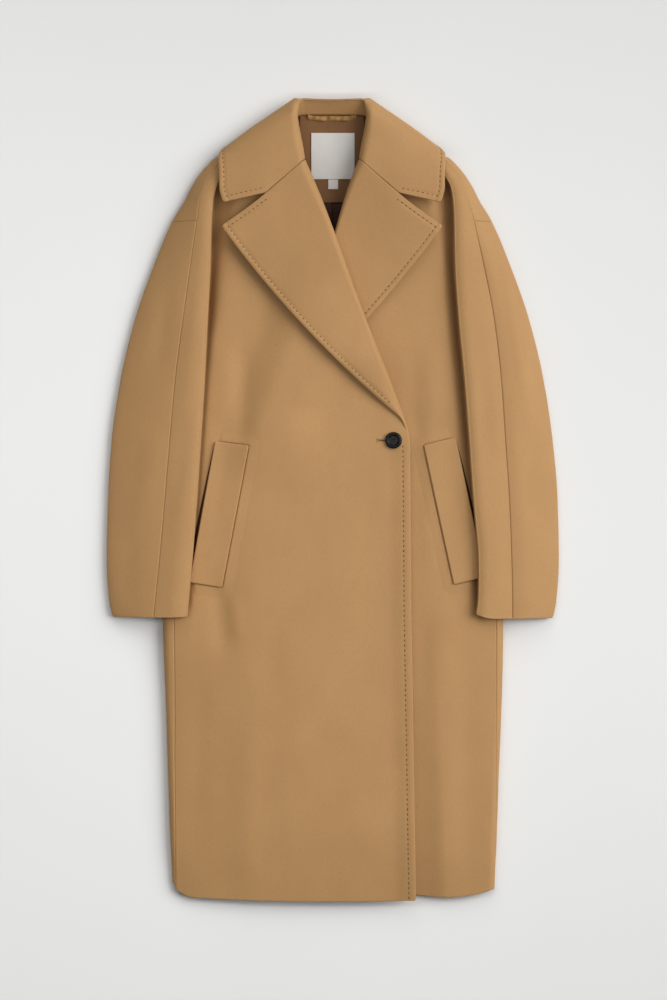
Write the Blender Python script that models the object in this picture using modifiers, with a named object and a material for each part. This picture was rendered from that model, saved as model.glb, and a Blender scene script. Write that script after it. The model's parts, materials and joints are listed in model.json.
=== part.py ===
"""Camel wool coat with a double-breasted wrap and one button, laid flat on its back.

Metres, +Z up, +Y towards the collar. Right and left are the wearer's: the right front, which laps
over the left one, lies at -X. Each cut piece is a wall of cloth built from sections of its outer face.
"""
import math

import bmesh
import bpy
import numpy as np

RIGHT, LEFT = -1, 1

# Cloth and gaps
CLOTH = 0.0026          # one layer of heavy wool
DOUBLE = 0.0032         # collar and lapels, two layers turned out
WELT = 0.0036           # pocket welts
FACING = 0.0020         # inside of the neck
LINING = 0.0010
SEAM = 0.0003           # gap where two pieces are sewn together
CLEAR = 0.0008          # gap where one layer lies on another
LIP = 0.0006            # a short first step beside a seam keeps the two edges parallel

# Body: half the flat width, and the height of the front's outer face along the middle
SIDE_RADIUS = 0.0115    # the back turns up round each side
ARMPIT = 0.240
ARMHOLE_START = 0.262
HEM_RIGHT, HEM_LEFT, HEM_BACK = -0.603, -0.597, -0.597
HEM_FADE = 0.10         # the hem's curve dies out this far above it
HEM_CORNER_FROM, HEM_CORNER_RUN, HEM_CORNER_RISE = 0.205, 0.035, 0.016   # it rises at the side seams
HEM_BOW_RUN, HEM_BOW_RISE = 0.200, 0.0045                               # it bows on the right front
HEM_TUCK_FROM, HEM_TUCK_RUN, HEM_TUCK_RISE = 0.165, 0.040, 0.003         # and under the lap on the left one
SIDE_RUN = 0.020        # the front's close columns go on this far past the rounded side
EDGE_RUN = 0.030        # and those beside the armhole, and of the back, this far
ARMPIT_SLACK, ARMPIT_EASE = 0.0015, 0.030


def table(columns, rows):
    """Named columns from a short list of rows, the first column rising."""
    return dict(zip(columns.split(), np.array(rows, float).T))


BODY = table("y half_width crown", [
    (-0.605, 0.2400, 0.0270),
    (-0.480, 0.2445, 0.0310),
    (-0.300, 0.2505, 0.0330),
    (-0.180, 0.2545, 0.0330),
    (0.000, 0.2550, 0.0315),
    (0.120, 0.2525, 0.0295),
    (0.240, 0.2480, 0.0275),
    (0.360, 0.2400, 0.0265),
    (0.600, 0.2400, 0.0260)])

# Side seams: distance up round the side from its outermost line
SIDE_SEAM = table("y right left", [
    (-0.600, 0.0123, -0.0030),
    (-0.410, 0.0170, 0.0005),
    (-0.180, 0.0240, 0.0165),
    (0.240, 0.0240, 0.0165)])

# Armhole: distance from the middle of the front's and the back's edge, up to the neck point
ARMHOLE = table("y front back", [
    (0.262, 0.2220, 0.2370),
    (0.300, 0.2135, 0.2370),
    (0.360, 0.2100, 0.2200),
    (0.420, 0.2060, 0.1960),
    (0.455, 0.2000, 0.1790),
    (0.485, 0.1880, 0.1600),
    (0.503, 0.1740, 0.1450),
    (0.578, 0.0600, 0.0560)])

# The front dips beside the sleeve: where the dip begins, and how deep it goes
DIP = table("y ridge depth", [
    (0.255, 0.1880, 0.0000),
    (0.300, 0.1810, 0.0040),
    (0.345, 0.1710, 0.0080),
    (0.385, 0.1580, 0.0090),
    (0.430, 0.1470, 0.0090),
    (0.500, 0.1300, 0.0060)])
DIP_WIDTH = 0.034

# Soft folds of the fronts: a line from head to foot, half its width, and its height (a trough is negative)
FOLDS = {
    RIGHT: [
        (-0.123, 0.270, -0.124, 0.070, 0.022, -0.0034),
        (-0.160, 0.250, -0.156, 0.100, 0.024, 0.0020),
        (-0.163, -0.120, -0.148, -0.270, 0.018, -0.0028),
        (-0.196, -0.230, -0.204, -0.570, 0.026, -0.0020),
        (-0.060, -0.140, -0.040, -0.570, 0.055, 0.0018)],
    LEFT: [
        (0.146, 0.250, 0.152, 0.110, 0.022, 0.0024),
        (0.172, -0.130, 0.164, -0.300, 0.026, 0.0018),
        (0.205, -0.200, 0.200, -0.570, 0.024, -0.0020)],
}

# Front edge of the right front below the lapel, and the hidden edge of the left one
FRONT_EDGE = table("y right left", [
    (-0.605, 0.1260, -0.1120),
    (-0.364, 0.1220, -0.1100),
    (-0.160, 0.1185, -0.1070),
    (0.076, 0.1170, -0.1050),
    (0.100, 0.1150, -0.1030),
    (0.118, 0.1105, -0.1000)])

# Lapels: the roll line, and the height of the roll
LAPEL = table("y right left top_right top_left", [
    (0.118, 0.1105, -0.1000, 0.0410, 0.0372),
    (0.148, 0.0990, -0.0870, 0.0425, 0.0370),
    (0.183, 0.0860, -0.0740, 0.0450, 0.0366),
    (0.223, 0.0700, -0.0600, 0.0475, 0.0360),
    (0.277, 0.0485, -0.0410, 0.0500, 0.0350),
    (0.327, 0.0300, -0.0220, 0.0520, 0.0346),
    (0.367, 0.0160, -0.0080, 0.0530, 0.0343),
    (0.400, 0.0040, 0.0030, 0.0530, 0.0345),
    (0.448, -0.0140, 0.0173, 0.0515, 0.0390),
    (0.485, -0.0285, 0.0294, 0.0500, 0.0440),
    (0.513, -0.0400, 0.0400, 0.0480, 0.0480)])
LAPEL_FOOT = {RIGHT: (0.0905, 0.1375), LEFT: (0.0795, 0.1375)}    # of the outer edge, as on the right
ROLL_START = 0.133
LAPEL_TIP = (-0.1660, 0.4095)
LAPEL_BOW = {RIGHT: 0.0130, LEFT: 0.0085}
LAPEL_CROWN = {RIGHT: 0.0020, LEFT: 0.0}
ROLL_LEAST = 0.0055                 # tightest outer radius of a roll
ROLL_GAP = 0.0011                   # between a front and the roll that is sewn to it
TURN_LIP = 0.16                     # first step round a roll, in radians
LAP = CLOTH + CLEAR                 # what the left front lifts the right one by
LAPEL_PUFF = 0.0090                 # what the left lapel adds to that
LAP_RAMP = 0.065
GORGE_GAP = 0.0008                  # between collar and lapel along the gorge seam
GORGE_OFF = (-0.635, 0.773)         # square to the gorge, towards the collar

# How far the outer edge of each lapel stands off the front, from foot to tip
LAPEL_LIFT = table("along right left", [
    (0.00, 0.0000, 0.0000),
    (0.25, 0.0030, 0.0000),
    (0.50, 0.0050, 0.0003),
    (0.65, 0.0060, 0.0010),
    (0.80, 0.0090, 0.0060),
    (1.00, 0.0160, 0.0160)])

# Shoulder line and the lift that the collar gives the back
SHOULDER_NECK = (0.056, 0.578)
SHOULDER_SLOPE = 0.605
SHOULDER_ROLL = 0.090
COLLAR_LIFT = 0.0080
LIFT_FROM, LIFT_TO = 0.460, 0.545
SHOULDER_HEIGHT = COLLAR_LIFT + 2 * CLOTH + SEAM
NECK_CURVE, NECK_CURVE_FROM, NECK_CURVE_RUN = 0.006, 0.540, 0.030   # the back's top edge is cut hollow

# Collar: five points on each section. S is under the fold, A on it and B above it, and the fall goes on
# through M to its edge E. Sections run from the right notch (0) over the shoulder ridge (5) to the middle
# of the back (8).
COLLAR_FOLD = table("u sx sy sz ax ay az bx by bz", [
    (0, -.0500, .5048, .0220, -.0400, .5130, .0350, -.0500, .5048, .0480),
    (1, -.0545, .5230, .0215, -.0430, .5290, .0345, -.0545, .5230, .0475),
    (2, -.0590, .5440, .0210, -.0470, .5490, .0335, -.0590, .5440, .0460),
    (3, -.0605, .5670, .0205, -.0510, .5750, .0330, -.0610, .5740, .0440),
    (4, -.0585, .5765, .0205, -.0505, .5848, .0362, -.0625, .5890, .0370),
    (5, -.0520, .5835, .0205, -.0500, .5935, .0372, -.0565, .6031, .0235),
    (6, -.0420, .5840, .0200, -.0430, .5950, .0350, -.0470, .6020, .0225),
    (7, -.0220, .5838, .0200, -.0230, .5935, .0340, -.0250, .6000, .0225),
    (8, .0000, .5835, .0200, .0000, .5930, .0335, .0000, .5995, .0225)])
COLLAR_FALL = table("u mx my mz ex ey ez", [
    (0, -.0995, .4641, .0452, -.1630, .4475, .0430),
    (1, -.1080, .4890, .0462, -.1685, .4690, .0425),
    (2, -.1130, .5160, .0445, -.1690, .4900, .0410),
    (3, -.1160, .5400, .0395, -.1705, .5080, .0355),
    (4, -.1165, .5530, .0340, -.1705, .5175, .0280),
    (5, -.1140, .5635, .0255, -.1675, .5250, .0180),
    (6, -.0990, .5710, .0090, -.1520, .5325, .0040),
    (7, -.0440, .5905, .0030, -.0850, .5300, .0000),
    (8, .0000, .5925, .0030, .0000, .5290, .0000)])
COLLAR_MIDDLE = COLLAR_FOLD["u"][-1]
STAND_TOP = 0.07                    # the stand begins this share of its height below the fold

# Neck seam, where the collar stand ends, by collar section
NECK_SEAM = table("u x y z", [
    (4, -.0560, .5700, .0165),
    (5, -.0500, .5768, .0145),
    (6, -.0385, .5785, .0138),
    (7, -.0210, .5787, .0136),
    (8, .0000, .5787, .0136)])

# Sleeves: distances from the middle of the outer edge, of the front seam and of the inner fold, and the
# height of the top
SLEEVE = table("y contour seam_right seam_left fold_right fold_left top", [
    (-0.174, 0.3290, 0.2680, 0.2720, 0.2160, 0.2175, 0.0455),
    (-0.150, 0.3345, 0.2650, 0.2715, 0.2140, 0.2190, 0.0465),
    (-0.090, 0.3385, 0.2585, 0.2700, 0.2085, 0.2180, 0.0480),
    (0.000, 0.3365, 0.2505, 0.2670, 0.2015, 0.2105, 0.0485),
    (0.090, 0.3315, 0.2435, 0.2630, 0.1955, 0.2040, 0.0485),
    (0.180, 0.3185, 0.2370, 0.2565, 0.1900, 0.1970, 0.0480),
    (0.270, 0.2970, 0.2250, 0.2460, 0.1855, 0.1885, 0.0465),
    (0.360, 0.2655, 0.2110, 0.2260, 0.1810, 0.1825, 0.0440),
    (0.420, 0.2400, 0.2025, 0.2127, 0.1795, 0.1815, 0.0410),
    (0.450, 0.2220, 0.1985, 0.2040, 0.1770, 0.1800, 0.0380),
    (0.470, 0.2120, 0.1920, 0.1980, 0.1715, 0.1765, 0.0355),
    (0.490, 0.1990, 0.1810, 0.1870, 0.1625, 0.1655, 0.0320),
    (0.505, 0.1860, 0.1690, 0.1730, 0.1545, 0.1570, 0.0290),
    (0.516, 0.1740, 0.1620, 0.1650, 0.1480, 0.1500, 0.0255)])
CROSS_SEAM = 0.420                  # seam across the sleeve head
SLEEVE_EDGE = 0.0095                # radius of the outer edge on the floor
SLEEVE_FOLD = 0.0085                # most that the inner fold is rounded
SLEEVE_FOLD_LEAST = 0.0038          # and the least
SLEEVE_FOLD_SHARE = 0.55            # of the way to the front seam, where the sleeve is narrow
SLEEVE_FOLD_ROOM = 0.003            # left between the fold and the seam underneath
SLEEVE_SAG = 0.0015                 # the top sinks this much at the front seam
SLEEVE_LIFT = 0.0050                # the sleeve lies this far above the front, on the welt
SLEEVE_REACH = 0.034                # the underside comes down to the floor this far outside the body
SLEEVE_GRIP = 0.010                 # and has its full height this far inside it
UNDERARM = 0.016                    # underarm seam, inside the body's edge
UNDERARM_OUT = 0.002                # and outside it at the armhole's foot
ARMPIT_TURN = 0.275                 # above this the sleeve's underside lies flat

# Pockets: the four corners of each welt
WELTS = {
    RIGHT: ((-0.1247, 0.0813), (-0.1755, 0.0880), (-0.2140, -0.1235), (-0.1650, -0.1314)),
    LEFT: ((0.1370, 0.0824), (0.1856, 0.0940), (0.2300, -0.1155), (0.1823, -0.1269)),
}

BUTTON_AT = (0.0920, 0.0893)
BUTTON_RADIUS, BUTTON_HEIGHT = 0.0125, 0.0042
BUTTON_HOLE, BUTTON_HOLE_OFF = 0.0011, 0.0021
# Shares of the button's radius and height, from the middle of its top round to its underside
BUTTON_PROFILE = [(0, 0.62), (0.52, 0.62), (0.68, 0.95), (0.82, 1), (0.96, 0.80), (1, 0.50),
                  (0.90, 0.12), (0.62, 0), (0, 0)]

FACING_EDGE = 0.448                 # lower edge of the neck facing
FACING_TOP = 0.5775
FACING_HALF, FACING_SPREAD, FACING_RUN = 0.049, 0.011, 0.100    # half its width at the top, and its flare
LINING_END = 0.335
# Across the lining: the lip of the pleat down its middle
LINING_PLEAT = table("x lip", [
    (-0.060, 0), (-0.030, 0), (-0.014, 0.0004), (-0.001, 0.0018), (0.0008, 0), (0.030, 0), (0.060, 0)])
LABEL = (-0.0314, 0.0340, 0.4830, 0.5520)
SIZE_TAB = (-0.0057, 0.0092, 0.4680, 0.4826)
LABEL_THICK = 0.0010
LOOP_REACH, LOOP_DROP, LOOP_WIDTH, LOOP_THICK = 0.0365, 0.0065, 0.0060, 0.0020
LOOP_INSET = 0.0035                 # of its middle line, below the neck seam


def through(at, stops, values):
    """Smooth curve through the stops that never overshoots them, held level past both ends."""
    at = np.clip(at, stops[0], stops[-1])
    step = np.diff(stops)
    slope = np.diff(values) / step
    before, after = slope[:-1], slope[1:]
    same_way = before * after > 0
    inner = np.where(same_way, 2 * before * after / np.where(same_way, before + after, 1), 0)
    tangent = np.concatenate([slope[:1], inner, slope[-1:]])
    k = np.clip(np.searchsorted(stops, at, side="right") - 1, 0, len(step) - 1)
    t = (at - stops[k]) / step[k]
    start = (1 + 2 * t) * (1 - t) ** 2 * values[k] + t * (1 - t) ** 2 * step[k] * tangent[k]
    return start + t * t * (3 - 2 * t) * values[k + 1] + t * t * (t - 1) * step[k] * tangent[k + 1]


def read(sheet, column, at):
    """A column of a table at any place along its first column."""
    return through(at, next(iter(sheet.values())), sheet[column])


def ease(t):
    """From 0 to 1, level at both ends."""
    t = np.clip(t, 0, 1)
    return t * t * (3 - 2 * t)


def spaced(start, end, steps, lips):
    """Even steps from start to end, with a short extra one at the ends that lips marks."""
    line = np.linspace(start, end, steps + 1)
    lip = min(LIP, abs(line[1] - start) / 3) * np.sign(end - start)
    if lips[1]:
        line = np.insert(line, -1, end - lip)
    if lips[0]:
        line = np.insert(line, 1, start + lip)
    return line


def turn_angles(steps):
    """Half a turn, with a short first step where the roll is sewn on."""
    return np.insert(np.linspace(0, math.pi, steps + 1), 1, TURN_LIP)


def name_of(side):
    return "right" if side == RIGHT else "left"


# Heights of the layers

def back_lift(y):
    """The back lies on the floor, and on the collar's fall near the neck."""
    return COLLAR_LIFT * ease((y - LIFT_FROM) / (LIFT_TO - LIFT_FROM))


def shoulder_line(d):
    return SHOULDER_NECK[1] - (d - SHOULDER_NECK[0]) * SHOULDER_SLOPE


def fold_relief(side, x, y):
    """Sum of the soft folds at a point of a front."""
    total = 0.0 * x
    for x0, y0, x1, y1, width, height in FOLDS[side]:
        along = np.array([x1 - x0, y1 - y0])
        length = np.hypot(*along)
        ux, uy = along / length
        t = ((x - x0) * ux + (y - y0) * uy) / length
        off = (x - x0) * uy - (y - y0) * ux
        total = total + height * np.exp(-(off / width) ** 2) * ease(t / 0.3) * ease((1 - t) / 0.3)
    return total


def lapel_outer(side, t):
    """Outer edge of a lapel, foot to tip: a straight line bowed outwards."""
    foot, tip = np.array(LAPEL_FOOT[side]), np.array(LAPEL_TIP)
    run = tip - foot
    out = np.array([-run[1], run[0]]) / np.hypot(*run)
    point = foot + np.outer(t, run) + np.outer(4 * LAPEL_BOW[side] * t * (1 - t), out)
    return point * (1 if side == RIGHT else -1, 1)


def left_edge(y):
    """Inner edge of the left front: its straight edge, and above that its roll line."""
    roll = read(LAPEL, "left", y)
    return np.where(y < LAPEL["y"][0], read(FRONT_EDGE, "left", y), roll)


def lap_relief(x, y):
    """How far the left front and its lapel lift the right front that lies over them."""
    edge = left_edge(y)
    over = ease((x - edge + LAP_RAMP) / LAP_RAMP)
    foot, tip = LAPEL_FOOT[LEFT], LAPEL_TIP
    share = np.clip((y - foot[1]) / (tip[1] - foot[1]), 0, 1)
    outer = -foot[0] - (tip[0] - foot[0]) * share
    lapel = ease((outer + 0.010 + LAP_RAMP - x) / LAP_RAMP) * ease(y / 0.11)
    return over * (LAP + LAPEL_PUFF * lapel)


def front_height(side, x, y):
    """Outer face of a front."""
    d = np.abs(x)
    level = 2 * SIDE_RADIUS
    share = np.clip(d / read(BODY, "half_width", y), 0, 1)
    full = level + (read(BODY, "crown", y) - level) * (1 - share ** 2.4)
    full = full - read(DIP, "depth", y) * ease((d - read(DIP, "ridge", y)) / DIP_WIDTH)
    drop = ease((shoulder_line(d) - y) / SHOULDER_ROLL)
    height = SHOULDER_HEIGHT + (full - SHOULDER_HEIGHT) * drop + fold_relief(side, x, y)
    return height + lap_relief(x, y) if side == RIGHT else height


# Edges of the panels

def side_point(side, s, y):
    """(d, z) on the body's rounded side, s along it from its outermost line, upwards."""
    half = read(BODY, "half_width", y)
    quarter = SIDE_RADIUS * math.pi / 2
    angle = np.clip(s / SIDE_RADIUS, -math.pi / 2, math.pi / 2)
    d = half - SIDE_RADIUS * (1 - np.cos(angle)) - np.maximum(np.abs(s) - quarter, 0)
    top = front_height(side, side * (half - SIDE_RADIUS), y)
    z = top / 2 * (1 + np.sin(angle))
    return d, np.where(s > quarter, front_height(side, side * d, y), z)


def seam_at(side, y):
    return read(SIDE_SEAM, name_of(side), y)


def armhole_front(side, y):
    """Distance of the front's armhole edge from the middle, from the top of the side seam upwards."""
    seam_end = side_point(side, seam_at(side, ARMPIT), np.array(ARMPIT))[0]
    turn = np.clip((y - ARMPIT) / (ARMHOLE_START - ARMPIT), 0, 1)
    return seam_end + (read(ARMHOLE, "front", y) - seam_end) * turn


def back_edge(side, y):
    """Where the back ends, as a distance along the side path."""
    half = read(BODY, "half_width", y)
    flat = -(SIDE_RADIUS * math.pi / 2 + half - SIDE_RADIUS - read(ARMHOLE, "back", y))
    turn = np.clip((y - ARMPIT) / (ARMHOLE_START - ARMPIT), 0, 1)
    slack = ARMPIT_SLACK * np.clip((y - ARMPIT) / ARMPIT_EASE + 1, 0, 1)
    return (seam_at(side, y) - slack) * (1 - turn) + flat * turn


def hem_rise(side, x, y, hem):
    """How far a point moves up because the hem isn't straight, fading above it."""
    d = np.abs(x)
    corner = HEM_CORNER_RISE * np.clip((d - HEM_CORNER_FROM) / HEM_CORNER_RUN, 0, 1.3) ** 2
    if side == RIGHT:
        bow = HEM_BOW_RISE * (d / HEM_BOW_RUN) ** 2
    else:
        bow = HEM_TUCK_RISE * np.clip((HEM_TUCK_FROM - x) / HEM_TUCK_RUN, 0, 1.4) ** 2
    return (bow + corner) * ease(1 - (y - hem) / HEM_FADE)


def roll_rows(side, t):
    """Roll line, row direction, outer edge, roll radius and the front's lower face, along a lapel."""
    y = ROLL_START + t * (LAPEL["y"][-1] - ROLL_START)
    roll = np.stack([read(LAPEL, name_of(side), y), y], axis=-1)
    outer = lapel_outer(side, t ** 0.9)
    reach = np.linalg.norm(outer - roll, axis=-1)
    toward = (outer - roll) / reach[:, None]
    under = front_height(side, roll[:, 0], y) - CLOTH
    radius = np.maximum((read(LAPEL, "top_" + name_of(side), y) - under) / 2, ROLL_LEAST)
    return roll, toward, outer, radius, under


def front_inner(side, y):
    """Inner edge of a front: its free edge, then the roll line less the roll, then the neck."""
    roll, toward, _, radius, _ = roll_rows(side, np.linspace(0, 1, 60))
    edge = roll + toward * (radius + ROLL_GAP)[:, None]
    neck = np.stack([COLLAR_FOLD["sx"][:4] - 2 * CLEAR, COLLAR_FOLD["sy"][:4] + CLEAR], axis=-1)
    neck = neck * (-side, 1)
    free = np.stack([FRONT_EDGE[name_of(side)], FRONT_EDGE["y"]], axis=-1)
    line = np.concatenate([free, edge, neck])
    line = line[np.argsort(line[:, 1])]
    return np.interp(y, line[:, 1], line[:, 0])


# Grids of points for the panels

def front_points(side, rows, side_steps, steps):
    """A front from its side seam or armhole to its inner edge, one row of points for each y."""
    hem = HEM_RIGHT if side == RIGHT else HEM_LEFT
    grid = []
    for y in rows:
        inner = front_inner(side, y)
        if y <= ARMPIT:
            top = SIDE_RADIUS * math.pi / 2 + SIDE_RUN
            s = spaced(seam_at(side, y) + SEAM / 2, top, side_steps, (1, 0))
            d, z = side_point(side, s, y)
        else:
            start = armhole_front(side, y)
            run = min(EDGE_RUN, 0.4 * (start - abs(inner)))
            d = spaced(start, start - run, side_steps, (1, 0))
            z = front_height(side, side * d, y)
        x = spaced(side * d[-1], inner, steps, (0, 1))[1:]
        z = np.concatenate([z, front_height(side, x, y)])
        x = np.concatenate([side * d, x])
        grid.append(np.stack([x, y + hem_rise(side, x, y, hem), z], axis=-1))
    return np.array(grid)


def back_points(rows, side_steps, steps):
    """The back from one side seam under the coat to the other."""
    grid = []
    for y in rows:
        halves = []
        for side in (RIGHT, LEFT):
            edge = back_edge(side, y) - SEAM / 2
            inner = min(edge, -SIDE_RADIUS * math.pi / 2) - EDGE_RUN
            d, z = side_point(side, spaced(edge, inner, side_steps, (1, 0)), y)
            halves.append(np.stack([side * d, z], axis=-1))
        middle = np.linspace(halves[0][-1], halves[1][-1], steps + 1)[1:-1]
        path = np.concatenate([halves[0], middle, halves[1][::-1]])
        x, z = path[:, 0], path[:, 1] + back_lift(y)
        hollow = NECK_CURVE * ease((y - NECK_CURVE_FROM) / NECK_CURVE_RUN) * (x / SHOULDER_NECK[0]) ** 2
        grid.append(np.stack([x, y + hem_rise(RIGHT, x, y, HEM_BACK) - hollow, z], axis=-1))
    return np.array(grid)


def lapel_points(side, t, turn_steps, steps):
    """A lapel from under its roll, round it and over to its outer edge."""
    roll, toward, outer, radius, under = roll_rows(side, t)
    reach = np.linalg.norm(outer - roll, axis=-1)
    rest = front_height(side, outer[:, 0], outer[:, 1]) + DOUBLE + CLEAR
    edge_top = rest + read(LAPEL_LIFT, name_of(side), t)
    top = under + 2 * radius
    grid = []
    for i in range(len(t)):
        angle = turn_angles(turn_steps)
        out = radius[i] * (1 - np.sin(angle))
        z = under[i] + radius[i] * (1 - np.cos(angle))
        share = np.linspace(0, 1, steps + 1)[1:]
        run = radius[i] + (reach[i] - radius[i]) * share
        point = roll[i] + np.outer(run, toward[i])
        crown = 4 * LAPEL_CROWN[side] * share * (1 - share) * (1 - t[i] ** 4)
        flat = top[i] + (edge_top[i] - top[i]) * share + crown
        least = front_height(side, point[:, 0], point[:, 1]) + DOUBLE + CLEAR
        xy = np.concatenate([roll[i] + np.outer(out, toward[i]), point])
        grid.append(np.column_stack([xy, np.concatenate([z, np.maximum(flat, least)])]))
    return np.array(grid)


def collar_controls(u):
    """The collar's five control points at each section, on both halves."""
    mirrored = np.minimum(u, 2 * COLLAR_MIDDLE - u)
    sign = np.where(u > COLLAR_MIDDLE, -1, 1)
    points = {}
    for letter in "sabme":
        sheet = COLLAR_FOLD if letter in "sab" else COLLAR_FALL
        x, y, z = (read(sheet, letter + axis, mirrored) for axis in "xyz")
        points[letter] = np.stack([x * sign, y, z], axis=-1)
    return points, mirrored


def collar_points(u, turn_steps, steps):
    """The collar's fall from under its fold to its outer edge."""
    points, station = collar_controls(u)
    angle = turn_angles(turn_steps)[:, None]
    share = np.linspace(0, 2, steps + 1)[1:]
    grid = []
    for i in range(len(u)):
        s, a, b, m, e = (points[letter][i] for letter in "sabme")
        centre = (s + b) / 2
        turn = centre + (a - centre) * np.sin(angle) + (s - b) / 2 * np.cos(angle)
        stops, line = np.arange(3.0), np.stack([b, m, e])
        straight = np.stack([np.interp(share, stops, line[:, k]) for k in range(3)], axis=-1)
        curved = np.stack([through(share, stops, line[:, k]) for k in range(3)], axis=-1)
        fall = straight + (curved - straight) * min(station[i], 1)
        grid.append(np.concatenate([turn, fall]))
    return np.array(grid)


def stand_points(u, steps):
    """The collar's inner band, from its fold down to the neck seam."""
    points, station = collar_controls(u)
    sign = np.where(u > COLLAR_MIDDLE, -1, 1)
    foot = np.stack([read(NECK_SEAM, "x", station) * sign, read(NECK_SEAM, "y", station),
                     read(NECK_SEAM, "z", station)], axis=-1)
    share = np.linspace(STAND_TOP, 1, steps + 1)[:, None]
    return np.array([top + (low - top) * share for top, low in zip(points["s"], foot)])


def sleeve_sizes(side, y):
    """(contour, seam, fold, top) of a sleeve at y."""
    name = name_of(side)
    return [read(SLEEVE, column, y) for column in ("contour", "seam_" + name, "fold_" + name, "top")]


def sleeve_end(side, y):
    """Distance from the middle of the seam under the sleeve: the front half's and the back half's side."""
    half = read(BODY, "half_width", y)
    if y <= ARMPIT:
        return half - UNDERARM - SEAM / 2, half - UNDERARM + SEAM / 2
    turn = np.clip((y - ARMHOLE_START) / (ARMPIT_TURN - ARMHOLE_START), 0, 1)
    outward = np.clip((y - ARMPIT) / (ARMHOLE_START - ARMPIT), 0, 1)
    outside = half - UNDERARM + (UNDERARM + UNDERARM_OUT) * outward
    back = outside + (read(ARMHOLE, "back", y) + SEAM - outside) * turn
    return armhole_front(side, y), back


def sleeve_under(side, d, y):
    """Underside of the back half: flat on the floor, climbing over the body's edge below the armpit."""
    half = read(BODY, "half_width", y)
    climb = np.clip((ARMPIT_TURN - y) / (ARMPIT_TURN - ARMPIT), 0, 1)
    over = front_height(side, side * np.minimum(d, half - SLEEVE_GRIP), y) + SLEEVE_LIFT
    return back_lift(y) + climb * over * ease((half + SLEEVE_REACH - d) / (SLEEVE_REACH + SLEEVE_GRIP))


def sleeve_front_points(side, rows, steps, turn_steps, under_steps):
    """Front half of a sleeve: from the front seam, round the inner fold, to the seam underneath."""
    grid = []
    for y in rows:
        _, seam, fold, top = sleeve_sizes(side, y)
        end, _ = sleeve_end(side, y)
        lift = SLEEVE_LIFT + (SEAM - SLEEVE_LIFT) * np.clip((y - ARMPIT) / ARMPIT_EASE, 0, 1)
        floor = front_height(side, side * (fold + SLEEVE_FOLD), y) + SLEEVE_LIFT
        most = min(SLEEVE_FOLD, end - fold - SLEEVE_FOLD_ROOM, SLEEVE_FOLD_SHARE * (seam - fold))
        radius = np.clip((top - floor) / 2, SLEEVE_FOLD_LEAST, most)
        share = np.linspace(0, 1, steps + 1)
        d = seam - SEAM / 2 + (fold + radius - seam) * share
        z = top - SLEEVE_SAG * (1 - share) ** 2
        angle = np.linspace(0, math.pi, turn_steps + 1)[1:]
        d = np.concatenate([d, fold + radius * (1 - np.sin(angle))])
        z = np.concatenate([z, top - radius * (1 - np.cos(angle))])
        share = np.linspace(0, 1, under_steps + 1)[1:]
        under = fold + radius + (end - fold - radius) * share
        body = front_height(side, side * under, y)
        low = body + lift + (SLEEVE_LIFT - lift) * (1 - share)
        start = front_height(side, side * (fold + radius), y) + SLEEVE_LIFT
        low = low + (top - 2 * radius - start) * (1 - share)
        d, z = np.concatenate([d, under]), np.concatenate([z, low])
        grid.append(np.stack([side * d, np.full(len(d), y), z], axis=-1))
    return np.array(grid)


def sleeve_back_points(side, rows, steps, turn_steps, under_steps):
    """Back half of a sleeve: from the front seam over the outer edge to the seam underneath."""
    grid = []
    for y in rows:
        contour, seam, _, top = sleeve_sizes(side, y)
        _, end = sleeve_end(side, y)
        low = back_lift(y)
        crest = top - SLEEVE_SAG
        edge = min(SLEEVE_EDGE, (crest - low) / 2)
        angle = np.linspace(0, math.pi / 2, steps + 1)
        start = seam + SEAM / 2
        d = start + (contour - start) * np.sin(angle)
        z = low + edge + (crest - low - edge) * np.cos(angle)
        angle = np.linspace(0, math.pi / 2, turn_steps + 1)[1:]
        d = np.concatenate([d, contour - edge * (1 - np.cos(angle))])
        z = np.concatenate([z, low + edge * (1 - np.sin(angle))])
        under = np.linspace(contour - edge, end, under_steps + 1)[1:]
        d, z = np.concatenate([d, under]), np.concatenate([z, sleeve_under(side, under, y)])
        grid.append(np.stack([side * d, np.full(len(d), y), z], axis=-1))
    return np.array(grid)


def welt_points(side, steps, rows):
    """A pocket welt, lying on its front."""
    inner_top, outer_top, outer_foot, inner_foot = (np.array(corner) for corner in WELTS[side])
    grid = []
    for v in np.linspace(0, 1, rows + 1):
        start, end = inner_foot + (inner_top - inner_foot) * v, outer_foot + (outer_top - outer_foot) * v
        xy = start + np.outer(np.linspace(0, 1, steps + 1), end - start)
        z = front_height(side, xy[:, 0], xy[:, 1]) + CLEAR + WELT
        grid.append(np.column_stack([xy, z]))
    return np.array(grid)


def neck_floor(y):
    """Upper face of the back, inside the neck."""
    return back_lift(y) + CLOTH


def facing_points(rows, steps):
    grid = []
    for y in rows:
        half = FACING_HALF + FACING_SPREAD * ease((FACING_TOP - y) / FACING_RUN)
        x = np.linspace(-half, half, steps + 1)
        z = np.full(steps + 1, neck_floor(y) + SEAM + FACING)
        grid.append(np.stack([x, np.full(steps + 1, y), z], axis=-1))
    return np.array(grid)


def lining_points(rows):
    """The lining below the facing, with the lip of its pleat down the middle."""
    across = list(zip(LINING_PLEAT["x"], LINING_PLEAT["lip"]))
    return np.array([[(x, y, neck_floor(y) + SEAM + LINING + lip) for x, lip in across] for y in rows])


def patch_points(box, rows, steps):
    """A label's upper face, lying on the neck facing."""
    left, right, low, high = box
    grid = []
    for y in np.linspace(low, high, rows + 1):
        z = neck_floor(y) + SEAM + FACING + SEAM + LABEL_THICK
        grid.append([(x, y, z) for x in np.linspace(left, right, steps + 1)])
    return np.array(grid)


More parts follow.
